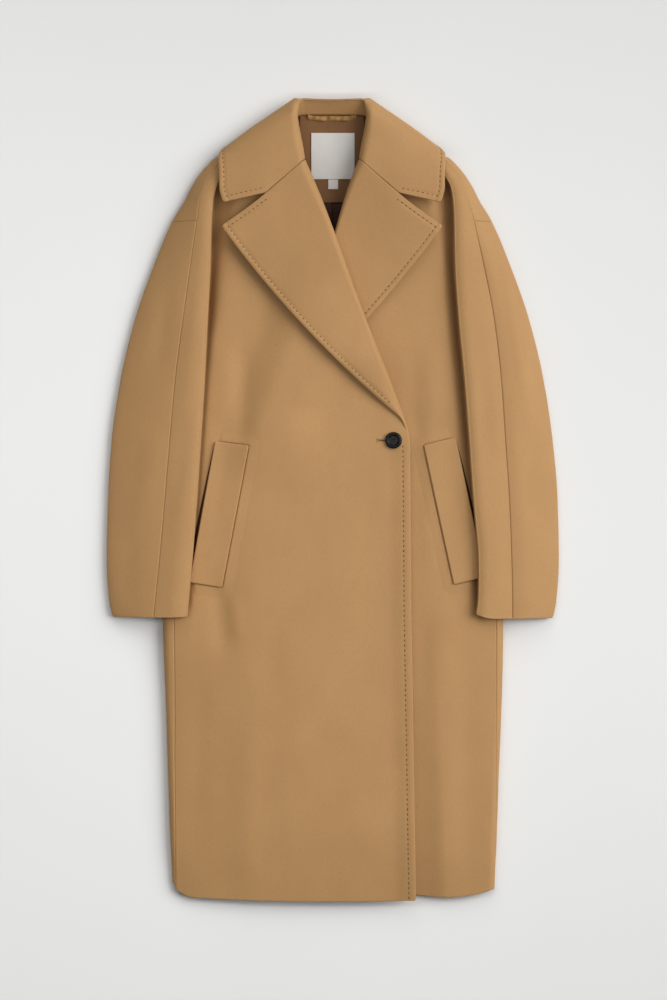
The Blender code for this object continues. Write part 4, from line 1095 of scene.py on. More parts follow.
CUFF_CURVE, CURVE_WIDTH = {RIGHT: 0.0012, LEFT: 0.0062}, 0.028  # its edge curves up to the inner fold
CURVE_FADE = 0.040                                              # and the rows above it follow
FOLD_OUT, FOLD_OUT_RUN = {RIGHT: 0.0, LEFT: 0.0026}, 0.10       # how far the fold swings out at the cuff
WIDER, WIDER_BELOW = {RIGHT: 0.0006, LEFT: 0.0030}, 0.12        # how much wider the arm gets below this
SLEEVE_EDGE, SLEEVE_SLOPE = 0.0095, 0.70                        # SLOPE: how straight the outer half falls
SLEEVE_FALL, FALL_BEND = 0.190, 1.4                             # from the inner fold to the front seam
FOLD_SOFT = {RIGHT: (0.0044, 0.026), LEFT: (0.0033, 0.014)}     # how far and how wide the fold rolls down
FOLD_CRISP, FOLD_NARROW = 0.62, 0.36                            # below 1, the turn is crisp and narrow
SLEEVE_FOLD, SLEEVE_FOLD_LEAST, SLEEVE_FOLD_SHARE, SLEEVE_FOLD_ROOM = 0.0085, 0.0038, 0.55, 0.003
SLEEVE_LIFT, SLEEVE_REACH, SLEEVE_GRIP = 0.0050, 0.034, 0.010
UNDERARM, UNDERARM_OUT, ARMPIT_TURN = 0.016, 0.002, 0.275
RIDGE_HEIGHT, RIDGE_FROM, RIDGE_FULL = {RIGHT: 0.0004, LEFT: 0.0028}, 0.470, 0.340    # along the outer half
VALLEY_DEPTH, VALLEY_WIDTH = {RIGHT: 0.0003, LEFT: 0.0010}, 0.011                      # along the front seam
SLEEVE_FOLDS = {
    RIGHT: [(-0.212, 0.150, -0.236, -0.020, 0.012, -0.0011), (-0.262, 0.120, -0.290, -0.060, 0.018, 0.0014),
            (-0.246, 0.330, -0.262, 0.180, 0.014, -0.0012), (-0.300, -0.040, -0.312, -0.160, 0.014, -0.0010)],
    LEFT: [(0.222, 0.210, 0.236, 0.040, 0.013, -0.0011), (0.250, 0.425, 0.302, 0.090, 0.011, 0.0030),
           (0.288, 0.130, 0.305, -0.070, 0.016, -0.0012), (0.246, -0.020, 0.250, -0.160, 0.014, 0.0009)],
}


def sleeve_sizes(side, y):
    """(contour, seam, fold, top) of a sleeve at y."""
    name = name_of(side)
    columns = ("contour", "seam_" + name, "fold_" + name, "top")
    contour, seam, fold, top = (read(SLEEVE, column, y) for column in columns)
    corner = CUFF_ROUND * np.clip(1 - (y - CUFFS[side]) / CUFF_RISE, 0, 1) ** 2
    wider = WIDER[side] * ease((WIDER_BELOW - y) / WIDER_BELOW)
    fold = fold - FOLD_OUT[side] * np.clip(1 - (y - CUFFS[side]) / FOLD_OUT_RUN, 0, 1) ** 2
    return contour + wider - corner, seam, fold + CUFF_INNER * corner, top


def sleeve_end(side, y):
    """Distance from the middle of the seam under the sleeve: the front half's and the back half's side."""
    half = read(BODY, "half_width", y)
    if y <= ARMPIT:
        return half - UNDERARM - SEAM / 2, half - UNDERARM + SEAM / 2
    turn = np.clip((y - ARMHOLE_START) / (ARMPIT_TURN - ARMHOLE_START), 0, 1)
    outward = np.clip((y - ARMPIT) / (ARMHOLE_START - ARMPIT), 0, 1)
    outside = half - UNDERARM + (UNDERARM + UNDERARM_OUT) * outward
    back = outside + (read(ARMHOLE, "back", y) + SEAM - outside) * turn
    return armhole_front(side, y), back


def sleeve_under(side, d, y):
    """Underside of the back half: flat on the floor, climbing over the body's edge below the armpit."""
    half = read(BODY, "half_width", y)
    climb = np.clip((ARMPIT_TURN - y) / (ARMPIT_TURN - ARMPIT), 0, 1)
    over = front_height(side, side * np.minimum(d, half - SLEEVE_GRIP), y) + SLEEVE_LIFT
    return back_lift(y) + climb * over * ease((half + SLEEVE_REACH - d) / (SLEEVE_REACH + SLEEVE_GRIP))


print("sleeve folds:", {name_of(side): len(rows) for side, rows in SLEEVE_FOLDS.items()})

# %% [markdown]
# Each half is a row of points at every place along the arm. The points are measured out from the middle of
# the coat, so one function makes both sleeves.

# %% Grids of the sleeves


def sleeve_front_points(side, rows, steps, turn_steps, under_steps):
    """Front half of a sleeve: from the front seam, round the inner fold, to the seam underneath."""
    grid = []
    for y in rows:
        _, seam, fold, top = sleeve_sizes(side, y)
        end, _ = sleeve_end(side, y)
        lift = SLEEVE_LIFT + (SEAM - SLEEVE_LIFT) * np.clip((y - ARMPIT) / ARMPIT_EASE, 0, 1)
        floor_under = front_height(side, side * (fold + SLEEVE_FOLD), y) + SLEEVE_LIFT
        drop, soft = FOLD_SOFT[side][0], min(FOLD_SOFT[side][1], 0.6 * (seam - fold))
        edge = top - drop * soft / FOLD_SOFT[side][1]
        most = min(SLEEVE_FOLD, end - fold - SLEEVE_FOLD_ROOM, SLEEVE_FOLD_SHARE * (seam - fold))
        radius = np.clip((edge - floor_under) / 2, SLEEVE_FOLD_LEAST, most)
        across = FOLD_NARROW * radius
        d = spaced(seam - SEAM / 2, fold + across, steps, (1, 0))
        share = (seam - SEAM / 2 - d) / (seam - SEAM / 2 - fold - across)
        z = top - SLEEVE_FALL * (seam - fold) * np.clip(1 - share, 0, 1) ** FALL_BEND
        z = z - (top - edge) * np.clip(1 - (d - fold - across) / soft, 0, 1) ** 2
        z = z - VALLEY_DEPTH[side] * np.exp(-((seam - d) / VALLEY_WIDTH) ** 2)
        z = z + fold_relief(SLEEVE_FOLDS[side], side * d, y) * ease((1 - share) / FOLD_FADE)
        even = np.linspace(0, 1, turn_steps + 1)[1:]
        angle = math.pi * (even - np.sin(2 * math.pi * even) / (2 * math.pi))
        d = np.concatenate([d, fold + across * (1 - np.abs(np.sin(angle)) ** FOLD_CRISP)])
        z = np.concatenate([z, edge - radius * (1 - np.cos(angle))])
        share = np.linspace(0, 1, under_steps + 1)[1:]
        under = fold + across + (end - fold - across) * share
        low = front_height(side, side * under, y) + lift + (SLEEVE_LIFT - lift) * (1 - share)
        start = front_height(side, side * (fold + across), y) + SLEEVE_LIFT
        low = low + (edge - 2 * radius - start) * (1 - share)
        d, z = np.concatenate([d, under]), np.concatenate([z, low])
        curve = CUFF_CURVE[side] * np.clip(1 - (d - fold) / CURVE_WIDTH, 0, 1) ** 2
        level = y + curve * np.clip(1 - (y - CUFFS[side]) / CURVE_FADE, 0, 1)
        grid.append(np.stack([side * d, level, z], axis=-1))
    return np.array(grid)


def sleeve_back_points(side, rows, steps, turn_steps, under_steps):
    """Back half of a sleeve: from the front seam over the outer edge to the seam underneath."""
    grid = []
    for y in rows:
        contour, seam, fold, top = sleeve_sizes(side, y)
        _, end = sleeve_end(side, y)
        low = back_lift(y)
        crest = top - SLEEVE_FALL * (seam - fold)
        edge = min(SLEEVE_EDGE, (crest - low) / 2)
        start = seam + SEAM / 2
        near = EDGE_STEPS / (contour - start)
        share = np.concatenate([[0], near, np.linspace(1.5 * near[-1], 1, steps)])
        d = start + (contour - start) * np.sin(share * math.pi / 2)
        z = low + edge + (crest - low - edge) * np.cos(share * math.pi / 2)
        out = (d - start) / (contour - start)
        straight = crest + (low + edge - crest) * out
        z = z + SLEEVE_SLOPE * (straight - z)
        grown = ease((RIDGE_FROM - y) / (RIDGE_FROM - RIDGE_FULL))
        ridge = RIDGE_HEIGHT[side] * grown * hump(out)
        z = z + ridge - VALLEY_DEPTH[side] * np.exp(-((d - seam) / VALLEY_WIDTH) ** 2)
        z = z + fold_relief(SLEEVE_FOLDS[side], side * d, y) * ease((1 - out) / FOLD_FADE)
        angle = np.linspace(0, math.pi / 2, turn_steps + 1)[1:]
        d = np.concatenate([d, contour - edge * (1 - np.cos(angle))])
        z = np.concatenate([z, low + edge * (1 - np.sin(angle))])
        under = np.linspace(contour - edge, end, under_steps + 1)[1:]
        d, z = np.concatenate([d, under]), np.concatenate([z, sleeve_under(side, under, y)])
        grid.append(np.stack([side * d, np.full(len(d), y), z], axis=-1))
    return np.array(grid)


for side in (RIGHT, LEFT):
    _, seam, fold, _ = sleeve_sizes(side, 0.0)
    print(f"{name_of(side)} sleeve: front seam {1000 * SLEEVE_FALL * (seam - fold):.1f} mm below its top")

# %% [markdown]
# Now the cloth is laid piece by piece. The back goes down first, then the left front, then the right one
# over it. Rows stand five to eight millimetres apart, close enough for a soft fold to be smooth, and much
# closer beside the hem, where the cut edge is rounded.

# %% Back and fronts
FRONT_TOP, BACK_TOP = 0.568, 0.577
EDGE_BAND_END, EDGE_BAND_FADE = 0.086, 0.012       # the stitched band of the front edge ends at the button
FRONT_BAND, HEM_CORNER_ROUND = 0.4, 0.004          # it is flatter than a lapel's, and round at the hem
FREE_END, FREE_FADE = 0.088, 0.006                 # above the button that edge is hidden in the roll
EDGE_CLEAR = 0.003                                 # other rows keep this far from a cut edge


def stations(stops, step):
    """Rows about one step apart, with every stop kept."""
    runs = [np.linspace(a, b, max(1, round((b - a) / step)) + 1)[:-1] for a, b in zip(stops, stops[1:])]
    return np.concatenate(runs + [stops[-1:]])


def with_edges(rows):
    """The rows with close ones added beside the first and the last."""
    low, high = rows[0], rows[-1]
    middle = rows[(rows > low + EDGE_CLEAR) & (rows < high - EDGE_CLEAR)]
    return np.concatenate([[low], low + EDGE_STEPS, middle, high - EDGE_STEPS[::-1], [high]])


armhole_stops = [ARMPIT, ARMPIT_MIDDLE, ARMHOLE_START, ARMPIT_TURN]
rows = with_edges(stations([HEM_BACK, *armhole_stops, CROSS_SEAM, BACK_TOP], 0.008))
back_grid = back_points(rows, 14, 30)
back, _ = shell("cloth_back", back_grid, CLOTH, camel, (1, 0, 0, 0), (30, 35), looks_up=False)
lay(back, "back")

front_outer = {}
for side, hem in ((LEFT, HEM_LEFT), (RIGHT, HEM_RIGHT)):
    rows = with_edges(stations([hem, ARMPIT, ARMHOLE_START, ARMPIT_TURN, CROSS_SEAM, FRONT_TOP], 0.005))
    grid = front_points(side, rows, 14, 54)
    shows = ease((FREE_END - rows) / FREE_FADE)
    band = FRONT_BAND * ease((EDGE_BAND_END - rows) / EDGE_BAND_FADE) if side == RIGHT else None
    if side == RIGHT:
        grid = round_corner(grid, 0, 1, HEM_CORNER_ROUND)
    piece, outer = shell(f"cloth_front_{name_of(side)}", grid, CLOTH, camel, (1, 0, 0, shows), (40, 40),
                         (None, None, None, band), FRONT_STITCH_IN)
    lay(piece, f"front_{name_of(side)}")
    front_outer[side] = outer

# %% [markdown]
# The lapels follow, each with its roll. Above the notch the end of the lapel is sewn to the collar, and
# beyond it the edge is free. Pick stitches will run beside the free edges, so a shallow trough is pressed
# in there, with a plump rim outside it.

# %% Lapels
LAPEL_RUN, LAPEL_WIDTH = 0.38, 0.15           # about how long and how wide, to space the points in metres
NOTCH = 0.472                                 # share of the lapel's end that is sewn to the collar
GORGE_BEND = table("share drop", [(0, 0.0035), (NOTCH, 0.0054), (1, -0.0004)])    # it is bent at the notch
GORGE_FROM = 0.85                             # share of the lapel's length above which its rows bend
FREE_RUN, STITCHED_RUN, STITCHED_FROM = 0.03, 0.05, 0.03    # shares over which an edge turns free or stitched
TOE_THINNER = 0.75                            # share of its thickness that the toe loses
lapel_turn = 22                               # steps round the roll

lapel_grids = {}
for side in (LEFT, RIGHT):
    first = TOE if side == RIGHT else 0
    t = first + spaced(0, LAPEL_RUN * (1 - first), 84, (1, 1), BAND) / LAPEL_RUN
    share = spaced(0, LAPEL_WIDTH, 30, (0, 1), BAND)[1:] / LAPEL_WIDTH
    grid = lapel_points(side, t, lapel_turn, share)
    hidden = np.zeros(lapel_turn + 1)
    bend = read(GORGE_BEND, "drop", np.concatenate([hidden, share]))
    grid[..., 1] -= np.clip((t - GORGE_FROM) / (1 - GORGE_FROM), 0, 1)[:, None] * bend
    grid = round_corner(grid, 1, 1, TIP_ROUND)
    end = np.concatenate([hidden, ease((share - NOTCH) / FREE_RUN)])
    end_stitch = np.concatenate([hidden, ease((share - NOTCH) / STITCHED_RUN)])
    edge_stitch = ease((t - STITCHED_FROM) / STITCHED_RUN)
    thickness = DOUBLE * (1 - TOE_THINNER * lapel_taper(side, t))[:, None]
    piece, outer = shell(f"cloth_lapel_{name_of(side)}", grid, thickness, camel, (1, end, None, 1),
                         (40, lapel_turn + 12), (None, end_stitch, None, edge_stitch))
    lay(piece, f"lapel_{name_of(side)}")
    lapel_grids[side] = outer, t, share

# %% [markdown]
# The collar runs in one piece from notch to notch round the back of the neck. Its ends are sewn to the
# lapels as far as the notch, so there the gap is a hair, and the rest of its outline is a free edge.

# %% Collar and stand
COLLAR_STEP, COLLAR_DEPTH = 0.021, 0.12       # metres to one section, and across the fall
COLLAR_ROUND = 0.0040
COLLAR_FREE, COLLAR_FREE_RUN = 0.98, 0.05     # where its ends leave the lapels
COLLAR_STITCHED, COLLAR_STITCHED_RUN = 1.08, 0.1
GORGE_RUN = 0.1                               # sections over which the hair's gap opens
collar_turn = 22

last = 2 * COLLAR_MIDDLE
u = spaced(0, last * COLLAR_STEP, 210, (1, 1), BAND) / COLLAR_STEP
collar_share = spaced(0, COLLAR_DEPTH, 30, (0, 1), BAND)[1:] / (COLLAR_DEPTH / 2)
collar_grid = collar_points(u, collar_turn, collar_share)
for mirror, fade in ((1, np.clip(1 - u / GORGE_RUN, 0, 1)), (-1, np.clip(1 - (last - u) / GORGE_RUN, 0, 1))):
    collar_grid += fade[:, None, None] * GORGE_GAP * np.array([GORGE_OFF[0] * mirror, GORGE_OFF[1], 0])
collar_grid = round_corner(round_corner(collar_grid, 0, 1, COLLAR_ROUND), 1, 1, COLLAR_ROUND)
hidden = np.zeros(collar_turn + 1)
end = np.concatenate([hidden, ease((collar_share - COLLAR_FREE) / COLLAR_FREE_RUN)])
end_stitch = np.concatenate([hidden, ease((collar_share - COLLAR_STITCHED) / COLLAR_STITCHED_RUN)])
collar, collar_outer = shell("cloth_collar", collar_grid, DOUBLE, camel, (end, end, None, 1),
                             (8, collar_turn + 14), (end_stitch, end_stitch, None, 1))

first = NECK_SEAM["u"][0]
stand_grid = stand_points(np.linspace(first, last - first, 90), 12)
stand, _ = shell("cloth_collar_stand", stand_grid, CLOTH, camel, (None, None, None, 0), (45, 1))
lay(stand, "collar_stand")
lay(collar, "collar")

# %% [markdown]
# The sleeves are laid on the fronts, with their cuffs free and every long edge sewn.

# %% Sleeves
SLEEVE_TOP = SLEEVE["y"][-1]
CUFF_ROWS = (0, 0.003, 0.005, CUFF_RISE)       # rows that follow the soft corners of a cuff
below, above = CROSS_SEAM - SEAM / 2, CROSS_SEAM + SEAM / 2

for side in (RIGHT, LEFT):
    name, cuff = name_of(side), CUFFS[side]
    arm_stops = [cuff + up for up in CUFF_ROWS] + armhole_stops
    rows = with_edges(stations(arm_stops + [CROSS_SEAM, SLEEVE_TOP], 0.006))
    grid = sleeve_front_points(side, rows, 20, 24, 12)
    piece, _ = shell(f"cloth_sleeve_front_{name}", grid, CLOTH, camel, (1, 0, 0, None), (20, 2))
    lay(piece, f"sleeve_front_{name}")
    rows = with_edges(stations(arm_stops + [below], 0.006))
    grid = sleeve_back_points(side, rows, 26, 10, 16)
    piece, _ = shell(f"cloth_sleeve_back_{name}", grid, CLOTH, camel, (1, 0, 0, None), (20, 2))
    lay(piece, f"sleeve_back_{name}")
    rows = with_edges(stations([above, SLEEVE_TOP], 0.005))
    grid = sleeve_back_points(side, rows, 26, 10, 12)
    piece, _ = shell(f"cloth_shoulder_{name}", grid, CLOTH, camel, (0, 0, 0, None), (3, 2))
    lay(piece, f"shoulder_{name}")

# %% [markdown]
# A pocket welt is a strip folded double that lies slanted on a front. It is a plain grid between four
# corners, which are rounded, and its outer long edge stands a little open, because a hand goes in there.

# %% Welts
WELTS = {
    RIGHT: ((-0.1247, 0.0813), (-0.1755, 0.0880), (-0.2140, -0.1235), (-0.1650, -0.1314)),
    LEFT: ((0.1370, 0.0824), (0.1856, 0.0940), (0.2300, -0.1155), (0.1823, -0.1269)),
}
WELT_ROUND, WELT_OPEN = 0.0025, 0.0014         # soft corners, and how far the outer edge stands open
WELT_WIDTH, WELT_LENGTH = 0.05, 0.21           # about, to space the points in metres


def welt_points(side, share, v):
    """A pocket welt on its front, its outer long edge a little open."""
    inner_top, outer_top, outer_foot, inner_foot = (np.array(corner) for corner in WELTS[side])
    grid = []
    for along in v:
        start = inner_foot + (inner_top - inner_foot) * along
        end = outer_foot + (outer_top - outer_foot) * along
        xy = start + np.outer(share, end - start)
        gape = WELT_OPEN * ease(2 * share - 1) * hump(1 - along)
        grid.append(np.column_stack([xy, front_height(side, xy[:, 0], xy[:, 1]) + CLEAR + WELT + gape]))
    return np.array(grid)


for side in (RIGHT, LEFT):
    share = spaced(0, WELT_WIDTH, 18, (1, 1)) / WELT_WIDTH
    grid = welt_points(side, share, spaced(0, WELT_LENGTH, 64, (1, 1)) / WELT_LENGTH)
    for row_end, column_end in ((0, 0), (0, 1), (1, 0), (1, 1)):
        grid = round_corner(grid, row_end, column_end, WELT_ROUND)
    piece, _ = shell(f"cloth_welt_{name_of(side)}", grid, WELT, camel, (1, 1, 1, 1), (20, 10))
    lay(piece, f"pocket_welt_{name_of(side)}")

# %% [markdown]
# Where a pocket is cut into thick wool the cloth round it swells up against the welt, which leaves a narrow
# dark crevice on three sides. A rim with a soft section is swept once round each welt: steep towards the
# welt, and running out flat into the front. On the fourth, outer side the pocket's mouth stands open and the
# rim runs out. There a narrow strip of dark lining satin is laid on the front: partly the lining that shows
# in the mouth, partly painted shade for the dark of the opening.

# %% Rims of the pockets
RIM = np.array([(0.0009, -0.0016), (0.0010, 0.0004), (0.0015, 0.0010), (0.0026, 0.0012), (0.0050, 0.0010),
                (0.0090, 0.0006), (0.0140, 0.0002), (0.0200, -0.0003), (0.0260, -0.0010), (0.0260, -0.0020)])
MOUTH_WIDTH, MOUTH_ENDS, MOUTH_UP = 0.0046, (0.03, 0.97), 0.0006
MOUTH_PART, MOUTH_LOW, MOUTH_FULL = (0.10, 0.99), 0.62, 0.8    # it is widest low down, and full there
MOUTH_UNDER = 0.6                          # share of its width that runs on under the welt
RIM_RAMP, RIM_LEAST, RIM_STEP = 0.010, 0.1, 0.003              # beside the mouth the rim gets low and narrow


def swept_ring(name, side, path, outward, profile, weight, finish):
    """A closed ring: the profile swept along a closed path on a front, small where its weight is small."""
    count, turns = len(path), len(profile)
    wide = RIM_LEAST + (1 - RIM_LEAST) * weight
    xy = path[:, None] + outward[:, None] * (profile[None, :, :1] * wide[:, None, None])
    foot = profile[0, 1]
    z = face_height(side, xy[..., 0], xy[..., 1]) + foot + (profile[None, :, 1] - foot) * weight[:, None]
    points = np.concatenate([xy, z[..., None]], axis=-1)
    index = np.arange(count * turns).reshape(count, turns)
    down, beside = np.roll(index, -1, axis=0), np.roll(index, -1, axis=1)
    both = np.roll(down, -1, axis=1)
    mesh = bpy.data.meshes.new(name)
    faces = np.stack([index, down, both, beside], axis=-1).reshape(-1, 4)
    mesh.from_pydata(points.reshape(-1, 3).tolist(), [], faces.tolist())
    shape = bmesh.new()
    shape.from_mesh(mesh)
    bmesh.ops.recalc_face_normals(shape, faces=shape.faces)
    shape.to_mesh(mesh)
    shape.free()
    mesh.materials.append(finish)
    mesh.shade_smooth()
    piece = put(name, mesh)
    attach(piece, "root")
    return piece


def rounded_outline(corners, radius, step):
    """A closed path round four corners with rounded turns, and its outward direction."""
    points, middle = [], np.mean(corners, axis=0)
    for before, corner, after in zip(np.roll(corners, 1, axis=0), corners, np.roll(corners, -1, axis=0)):
        back, on = before - corner, after - corner
        start = corner + back / np.linalg.norm(back) * radius
        end = corner + on / np.linalg.norm(on) * radius
        t = np.linspace(0, 1, 7)[:, None]
        points.extend((1 - t) ** 2 * start + 2 * t * (1 - t) * corner + t * t * end)
        leave = after - on / np.linalg.norm(on) * radius
        count = max(2, round(np.linalg.norm(leave - end) / step))
        points.extend(end + (leave - end) * k / count for k in range(1, count))
    path = np.array(points)
    along = np.roll(path, -1, axis=0) - np.roll(path, 1, axis=0)
    outward = np.stack([along[:, 1], -along[:, 0]], axis=-1) / np.linalg.norm(along, axis=-1, keepdims=True)
    facing_out = np.sum(outward * (path - middle), axis=-1, keepdims=True)
    return path, outward * np.sign(facing_out)


for side in (RIGHT, LEFT):
    path, outward = rounded_outline(np.array(WELTS[side]), WELT_ROUND, RIM_STEP)
    _, outer_top, outer_foot, _ = (np.array(corner) for corner in WELTS[side])
    run = (outer_top - outer_foot) / np.linalg.norm(outer_top - outer_foot)
    from_mouth = np.abs((path - outer_foot) @ np.array([run[1], -run[0]]))
    rim = swept_ring(f"pocket_rim_{name_of(side)}", side, path, outward, RIM,
                     ease(from_mouth / RIM_RAMP), camel)
    # The strip lies on the front's face: the lining's own colour, and painted shade for the open mouth.
    along = np.linspace(*MOUTH_ENDS, 60)
    wide = MOUTH_WIDTH * np.sin(math.pi * np.linspace(*MOUTH_PART, 60) ** MOUTH_LOW) ** MOUTH_FULL
    line = outer_foot + np.outer(along, outer_top - outer_foot)
    off = np.linspace(-MOUTH_UNDER, 1, 7)[None, :] * wide[:, None]
    xy = line[:, None] + off[..., None] * np.array([side, 0])
    grid = np.concatenate([xy, face_height(side, xy[..., 0], xy[..., 1])[..., None] + MOUTH_UP], axis=-1)
    mouth, _ = shell(f"pocket_mouth_painted_shade_{name_of(side)}", grid, LINING, lining_satin, (None,) * 4, (30, 3))
    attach(mouth, "root")
    print(f"{rim.name}: {len(rim.data.polygons)} faces, mouth {1000 * MOUTH_WIDTH:.1f} mm wide")

# %% [markdown]
# Inside the neck a woollen facing lies on the back, and below it the satin lining with the lip of a pleat
# down its middle. A bare woven label, its bare tab and a gathered satin loop are sewn to the facing.

# %% Inside of the neck
FACING_EDGE, FACING_TOP, LINING_END = 0.448, 0.5788, 0.335
FACING_HALF, FACING_SPREAD, FACING_RUN = 0.049, 0.011, 0.100
LINING_PLEAT = table("x lip", [
    (-0.060, 0), (-0.030, 0), (-0.014, 0.0004), (-0.001, 0.0018), (0.0008, 0), (0.030, 0), (0.060, 0)])
LABEL, SIZE_TAB, LABEL_THICK = (-0.0314, 0.0340, 0.4830, 0.5520), (-0.0057, 0.0092, 0.4680, 0.4826), 0.0010
LABEL_WAVE, WAVE_ACROSS, WAVE_ALONG = 0.0005, 58, 41           # its height, and radians to the metre
LOOP_REACH, LOOP_DROP, LOOP_WIDTH, LOOP_THICK, LOOP_INSET = 0.0365, 0.0030, 0.0076, 0.0020, 0.0022
LOOP_GATHERS, LOOP_PUCKER, LOOP_PLUMP, LOOP_CLOTH = (2.3, 4.1, 6.7), 0.0006, 0.0008, 0.6
LINING_HALF = 0.06


def neck_floor(y):
    """Upper face of the back, inside the neck."""
    return back_lift(y) + CLOTH


def facing_points(rows, steps):
    """The facing, wider towards its lower edge."""
    half = FACING_HALF + FACING_SPREAD * ease((FACING_TOP - rows) / FACING_RUN)
    x = np.outer(half, np.linspace(-1, 1, steps + 1))
    y = np.broadcast_to(rows[:, None], x.shape)
    return np.stack([x, y, neck_floor(y) + SEAM + FACING], axis=-1)


def lining_points(rows, across):
    """The lining below the facing, with the lip of its pleat."""
    y, x = np.meshgrid(rows, across, indexing="ij")
    lip = np.interp(x, LINING_PLEAT["x"], LINING_PLEAT["lip"])
    return np.stack([x, y, neck_floor(y) + SEAM + LINING + lip], axis=-1)


def patch_points(box, rows, steps):
    """A label's upper face on the facing, with a slight wave."""
    left, right, low, high = box
    y, x = np.meshgrid(spaced(low, high, rows, (1, 1)), spaced(left, right, steps, (1, 1)), indexing="ij")
    wave = LABEL_WAVE * (1 + np.sin(WAVE_ACROSS * x + WAVE_ALONG * y)) / 2
    return np.stack([x, y, neck_floor(y) + 2 * SEAM + FACING + LABEL_THICK + wave], axis=-1)


def loop_points(steps, across_steps):
    """The hanger loop: a gathered band that sags from the neck seam."""
    share = np.linspace(-1, 1, steps + 1)[:, None]
    sag = LOOP_DROP * (1 - np.abs(share) ** 5)
    across = np.linspace(0.5, -0.5, across_steps + 1)[None, :]
    y = FACING_TOP - LOOP_INSET - sag + across * LOOP_WIDTH
    pucker = 0.0 * y
    for k, gathers in enumerate(LOOP_GATHERS):
        pucker = pucker + LOOP_PUCKER * np.sin(math.pi * gathers * share + 1.7 * k + (3 - 2 * k) * across)
    plump = -LOOP_PLUMP * (2 * across) ** 2
    return np.stack([np.broadcast_to(share * LOOP_REACH, y.shape), y,
                     neck_floor(y) + 2 * SEAM + FACING + LOOP_THICK + pucker + plump], axis=-1)


grid = loop_points(150, 10)
loop, _ = shell("cloth_loop", grid, LOOP_CLOTH * LOOP_THICK, loop_satin, (None, None, 1, 1), (75, 5))
stand_for(loop, "hanger_loop")
for name, node, box, rows, steps in (("cloth_label", "neck_label", LABEL, 34, 32),
                                     ("cloth_tab", "size_tab", SIZE_TAB, 10, 10)):
    grid = patch_points(box, rows, steps)
    piece, _ = shell(name, grid, LABEL_THICK, tape, (1, 1, 1, 1), (5, 5))
    lay(piece, node)

grid = facing_points(with_edges(stations([FACING_EDGE, FACING_TOP], 0.004)), 40)
facing, _ = shell("cloth_facing", grid, FACING, inside, (0, 0, None, None), (10, 20))
lay(facing, "neck_facing")
beside_lip = [-0.0005, 0.0, 0.0004]
even = np.linspace(-LINING_HALF, LINING_HALF, 49)
across = np.unique(np.concatenate([even, LINING_PLEAT["x"], beside_lip]))
grid = lining_points(stations([LINING_END, FACING_EDGE - SEAM], 0.006), across)
lining, _ = shell("cloth_lining", grid, LINING, lining_satin, (None, 0, None, None), (5, 5))
lay(lining, "back_lining")

# %% [markdown]
# The button is turned: half its section, spun round its middle. Its four holes don't lie on that axis, so a
# Boolean cuts them. Two strands of black thread will cross between them.

# %% Button
BUTTON_RADIUS, BUTTON_HEIGHT, BUTTON_SHARP = 0.0125, 0.0042, math.radians(42)
BUTTON_HOLE, BUTTON_HOLE_OFF = 0.0011, 0.0021
BUTTON_PROFILE = [(0, 0.62), (0.52, 0.62), (0.68, 0.95), (0.82, 1), (0.96, 0.80), (1, 0.50),
                  (0.90, 0.12), (0.62, 0), (0, 0)]
button_base = float(face_height(RIGHT, *np.array(BUTTON_AT))) + CLEAR


def revolve(outline, steps):
    """A closed mesh from a section spun round the Z axis; its first and last points lie on the axis."""
    shape = bmesh.new()
    ends = [shape.verts.new((0, 0, outline[k][1])) for k in (0, -1)]
    angles = np.linspace(0, 2 * math.pi, steps, endpoint=False)
    rings = [[shape.verts.new((r * math.cos(a), r * math.sin(a), z)) for a in angles]
             for r, z in outline[1:-1]]
    for k in range(steps):
        after = (k + 1) % steps
        shape.faces.new((ends[0], rings[0][k], rings[0][after]))
        shape.faces.new((ends[1], rings[-1][after], rings[-1][k]))
        for upper, lower in zip(rings, rings[1:]):
            shape.faces.new((upper[k], lower[k], lower[after], upper[after]))
    return shape


stops = np.arange(len(BUTTON_PROFILE), dtype=float)
fine = np.linspace(0, stops[-1], 41)
outline = [(BUTTON_RADIUS * float(through(s, stops, np.array(BUTTON_PROFILE)[:, 0])),
            BUTTON_HEIGHT * float(through(s, stops, np.array(BUTTON_PROFILE)[:, 1]))) for s in fine]
shape = revolve(outline, 72)
bmesh.ops.translate(shape, verts=shape.verts, vec=(*BUTTON_AT, button_base))
mesh = bpy.data.meshes.new("button_disc")
shape.to_mesh(mesh)
shape.free()
mesh.materials.append(horn)
button = put("button_disc", mesh)

drill = bmesh.new()
for k in range(4):
    angle = math.pi / 4 + k * math.pi / 2
    made = bmesh.ops.create_cone(drill, cap_ends=True, segments=20, radius1=BUTTON_HOLE, radius2=BUTTON_HOLE,
                                 depth=4 * BUTTON_HEIGHT)
    at = (BUTTON_AT[0] + BUTTON_HOLE_OFF * math.cos(angle), BUTTON_AT[1] + BUTTON_HOLE_OFF * math.sin(angle))
    bmesh.ops.translate(drill, verts=made["verts"], vec=(*at, button_base))
drill_mesh = bpy.data.meshes.new("drill")
drill.to_mesh(drill_mesh)
drill.free()
drill_piece = put("drill", drill_mesh)
cut = button.modifiers.new("Holes", "BOOLEAN")
cut.object = drill_piece
cut.solver = "EXACT"
finished = bpy.data.meshes.new_from_object(button.evaluated_get(bpy.context.evaluated_depsgraph_get()))
button.modifiers.remove(cut)
button.data = finished
bpy.data.objects.remove(drill_piece)
finished.shade_smooth()
finished.set_sharp_from_angle(angle=BUTTON_SHARP)
stand_for(button, "button")
print("button:", len(finished.polygons), "faces,", round(1000 * button_base, 1), "mm up")

# %% [markdown]
# Pick stitches are short dashes of darker thread, sunk a little into the wool about seven millimetres apart.
# They repeat, so Geometry Nodes sets them: a line of points becomes a curve, the curve is cut into equal
# lengths, and one small stitch, a little longer or shorter each time, is set on every cut.

# %% Geometry Nodes for a row of stitches
STITCH_SIDES, STITCH_RINGS = 10, 6
SHORTEST, LONGEST = 0.75, 1.15                 # of a row's stitches, as shares of their length


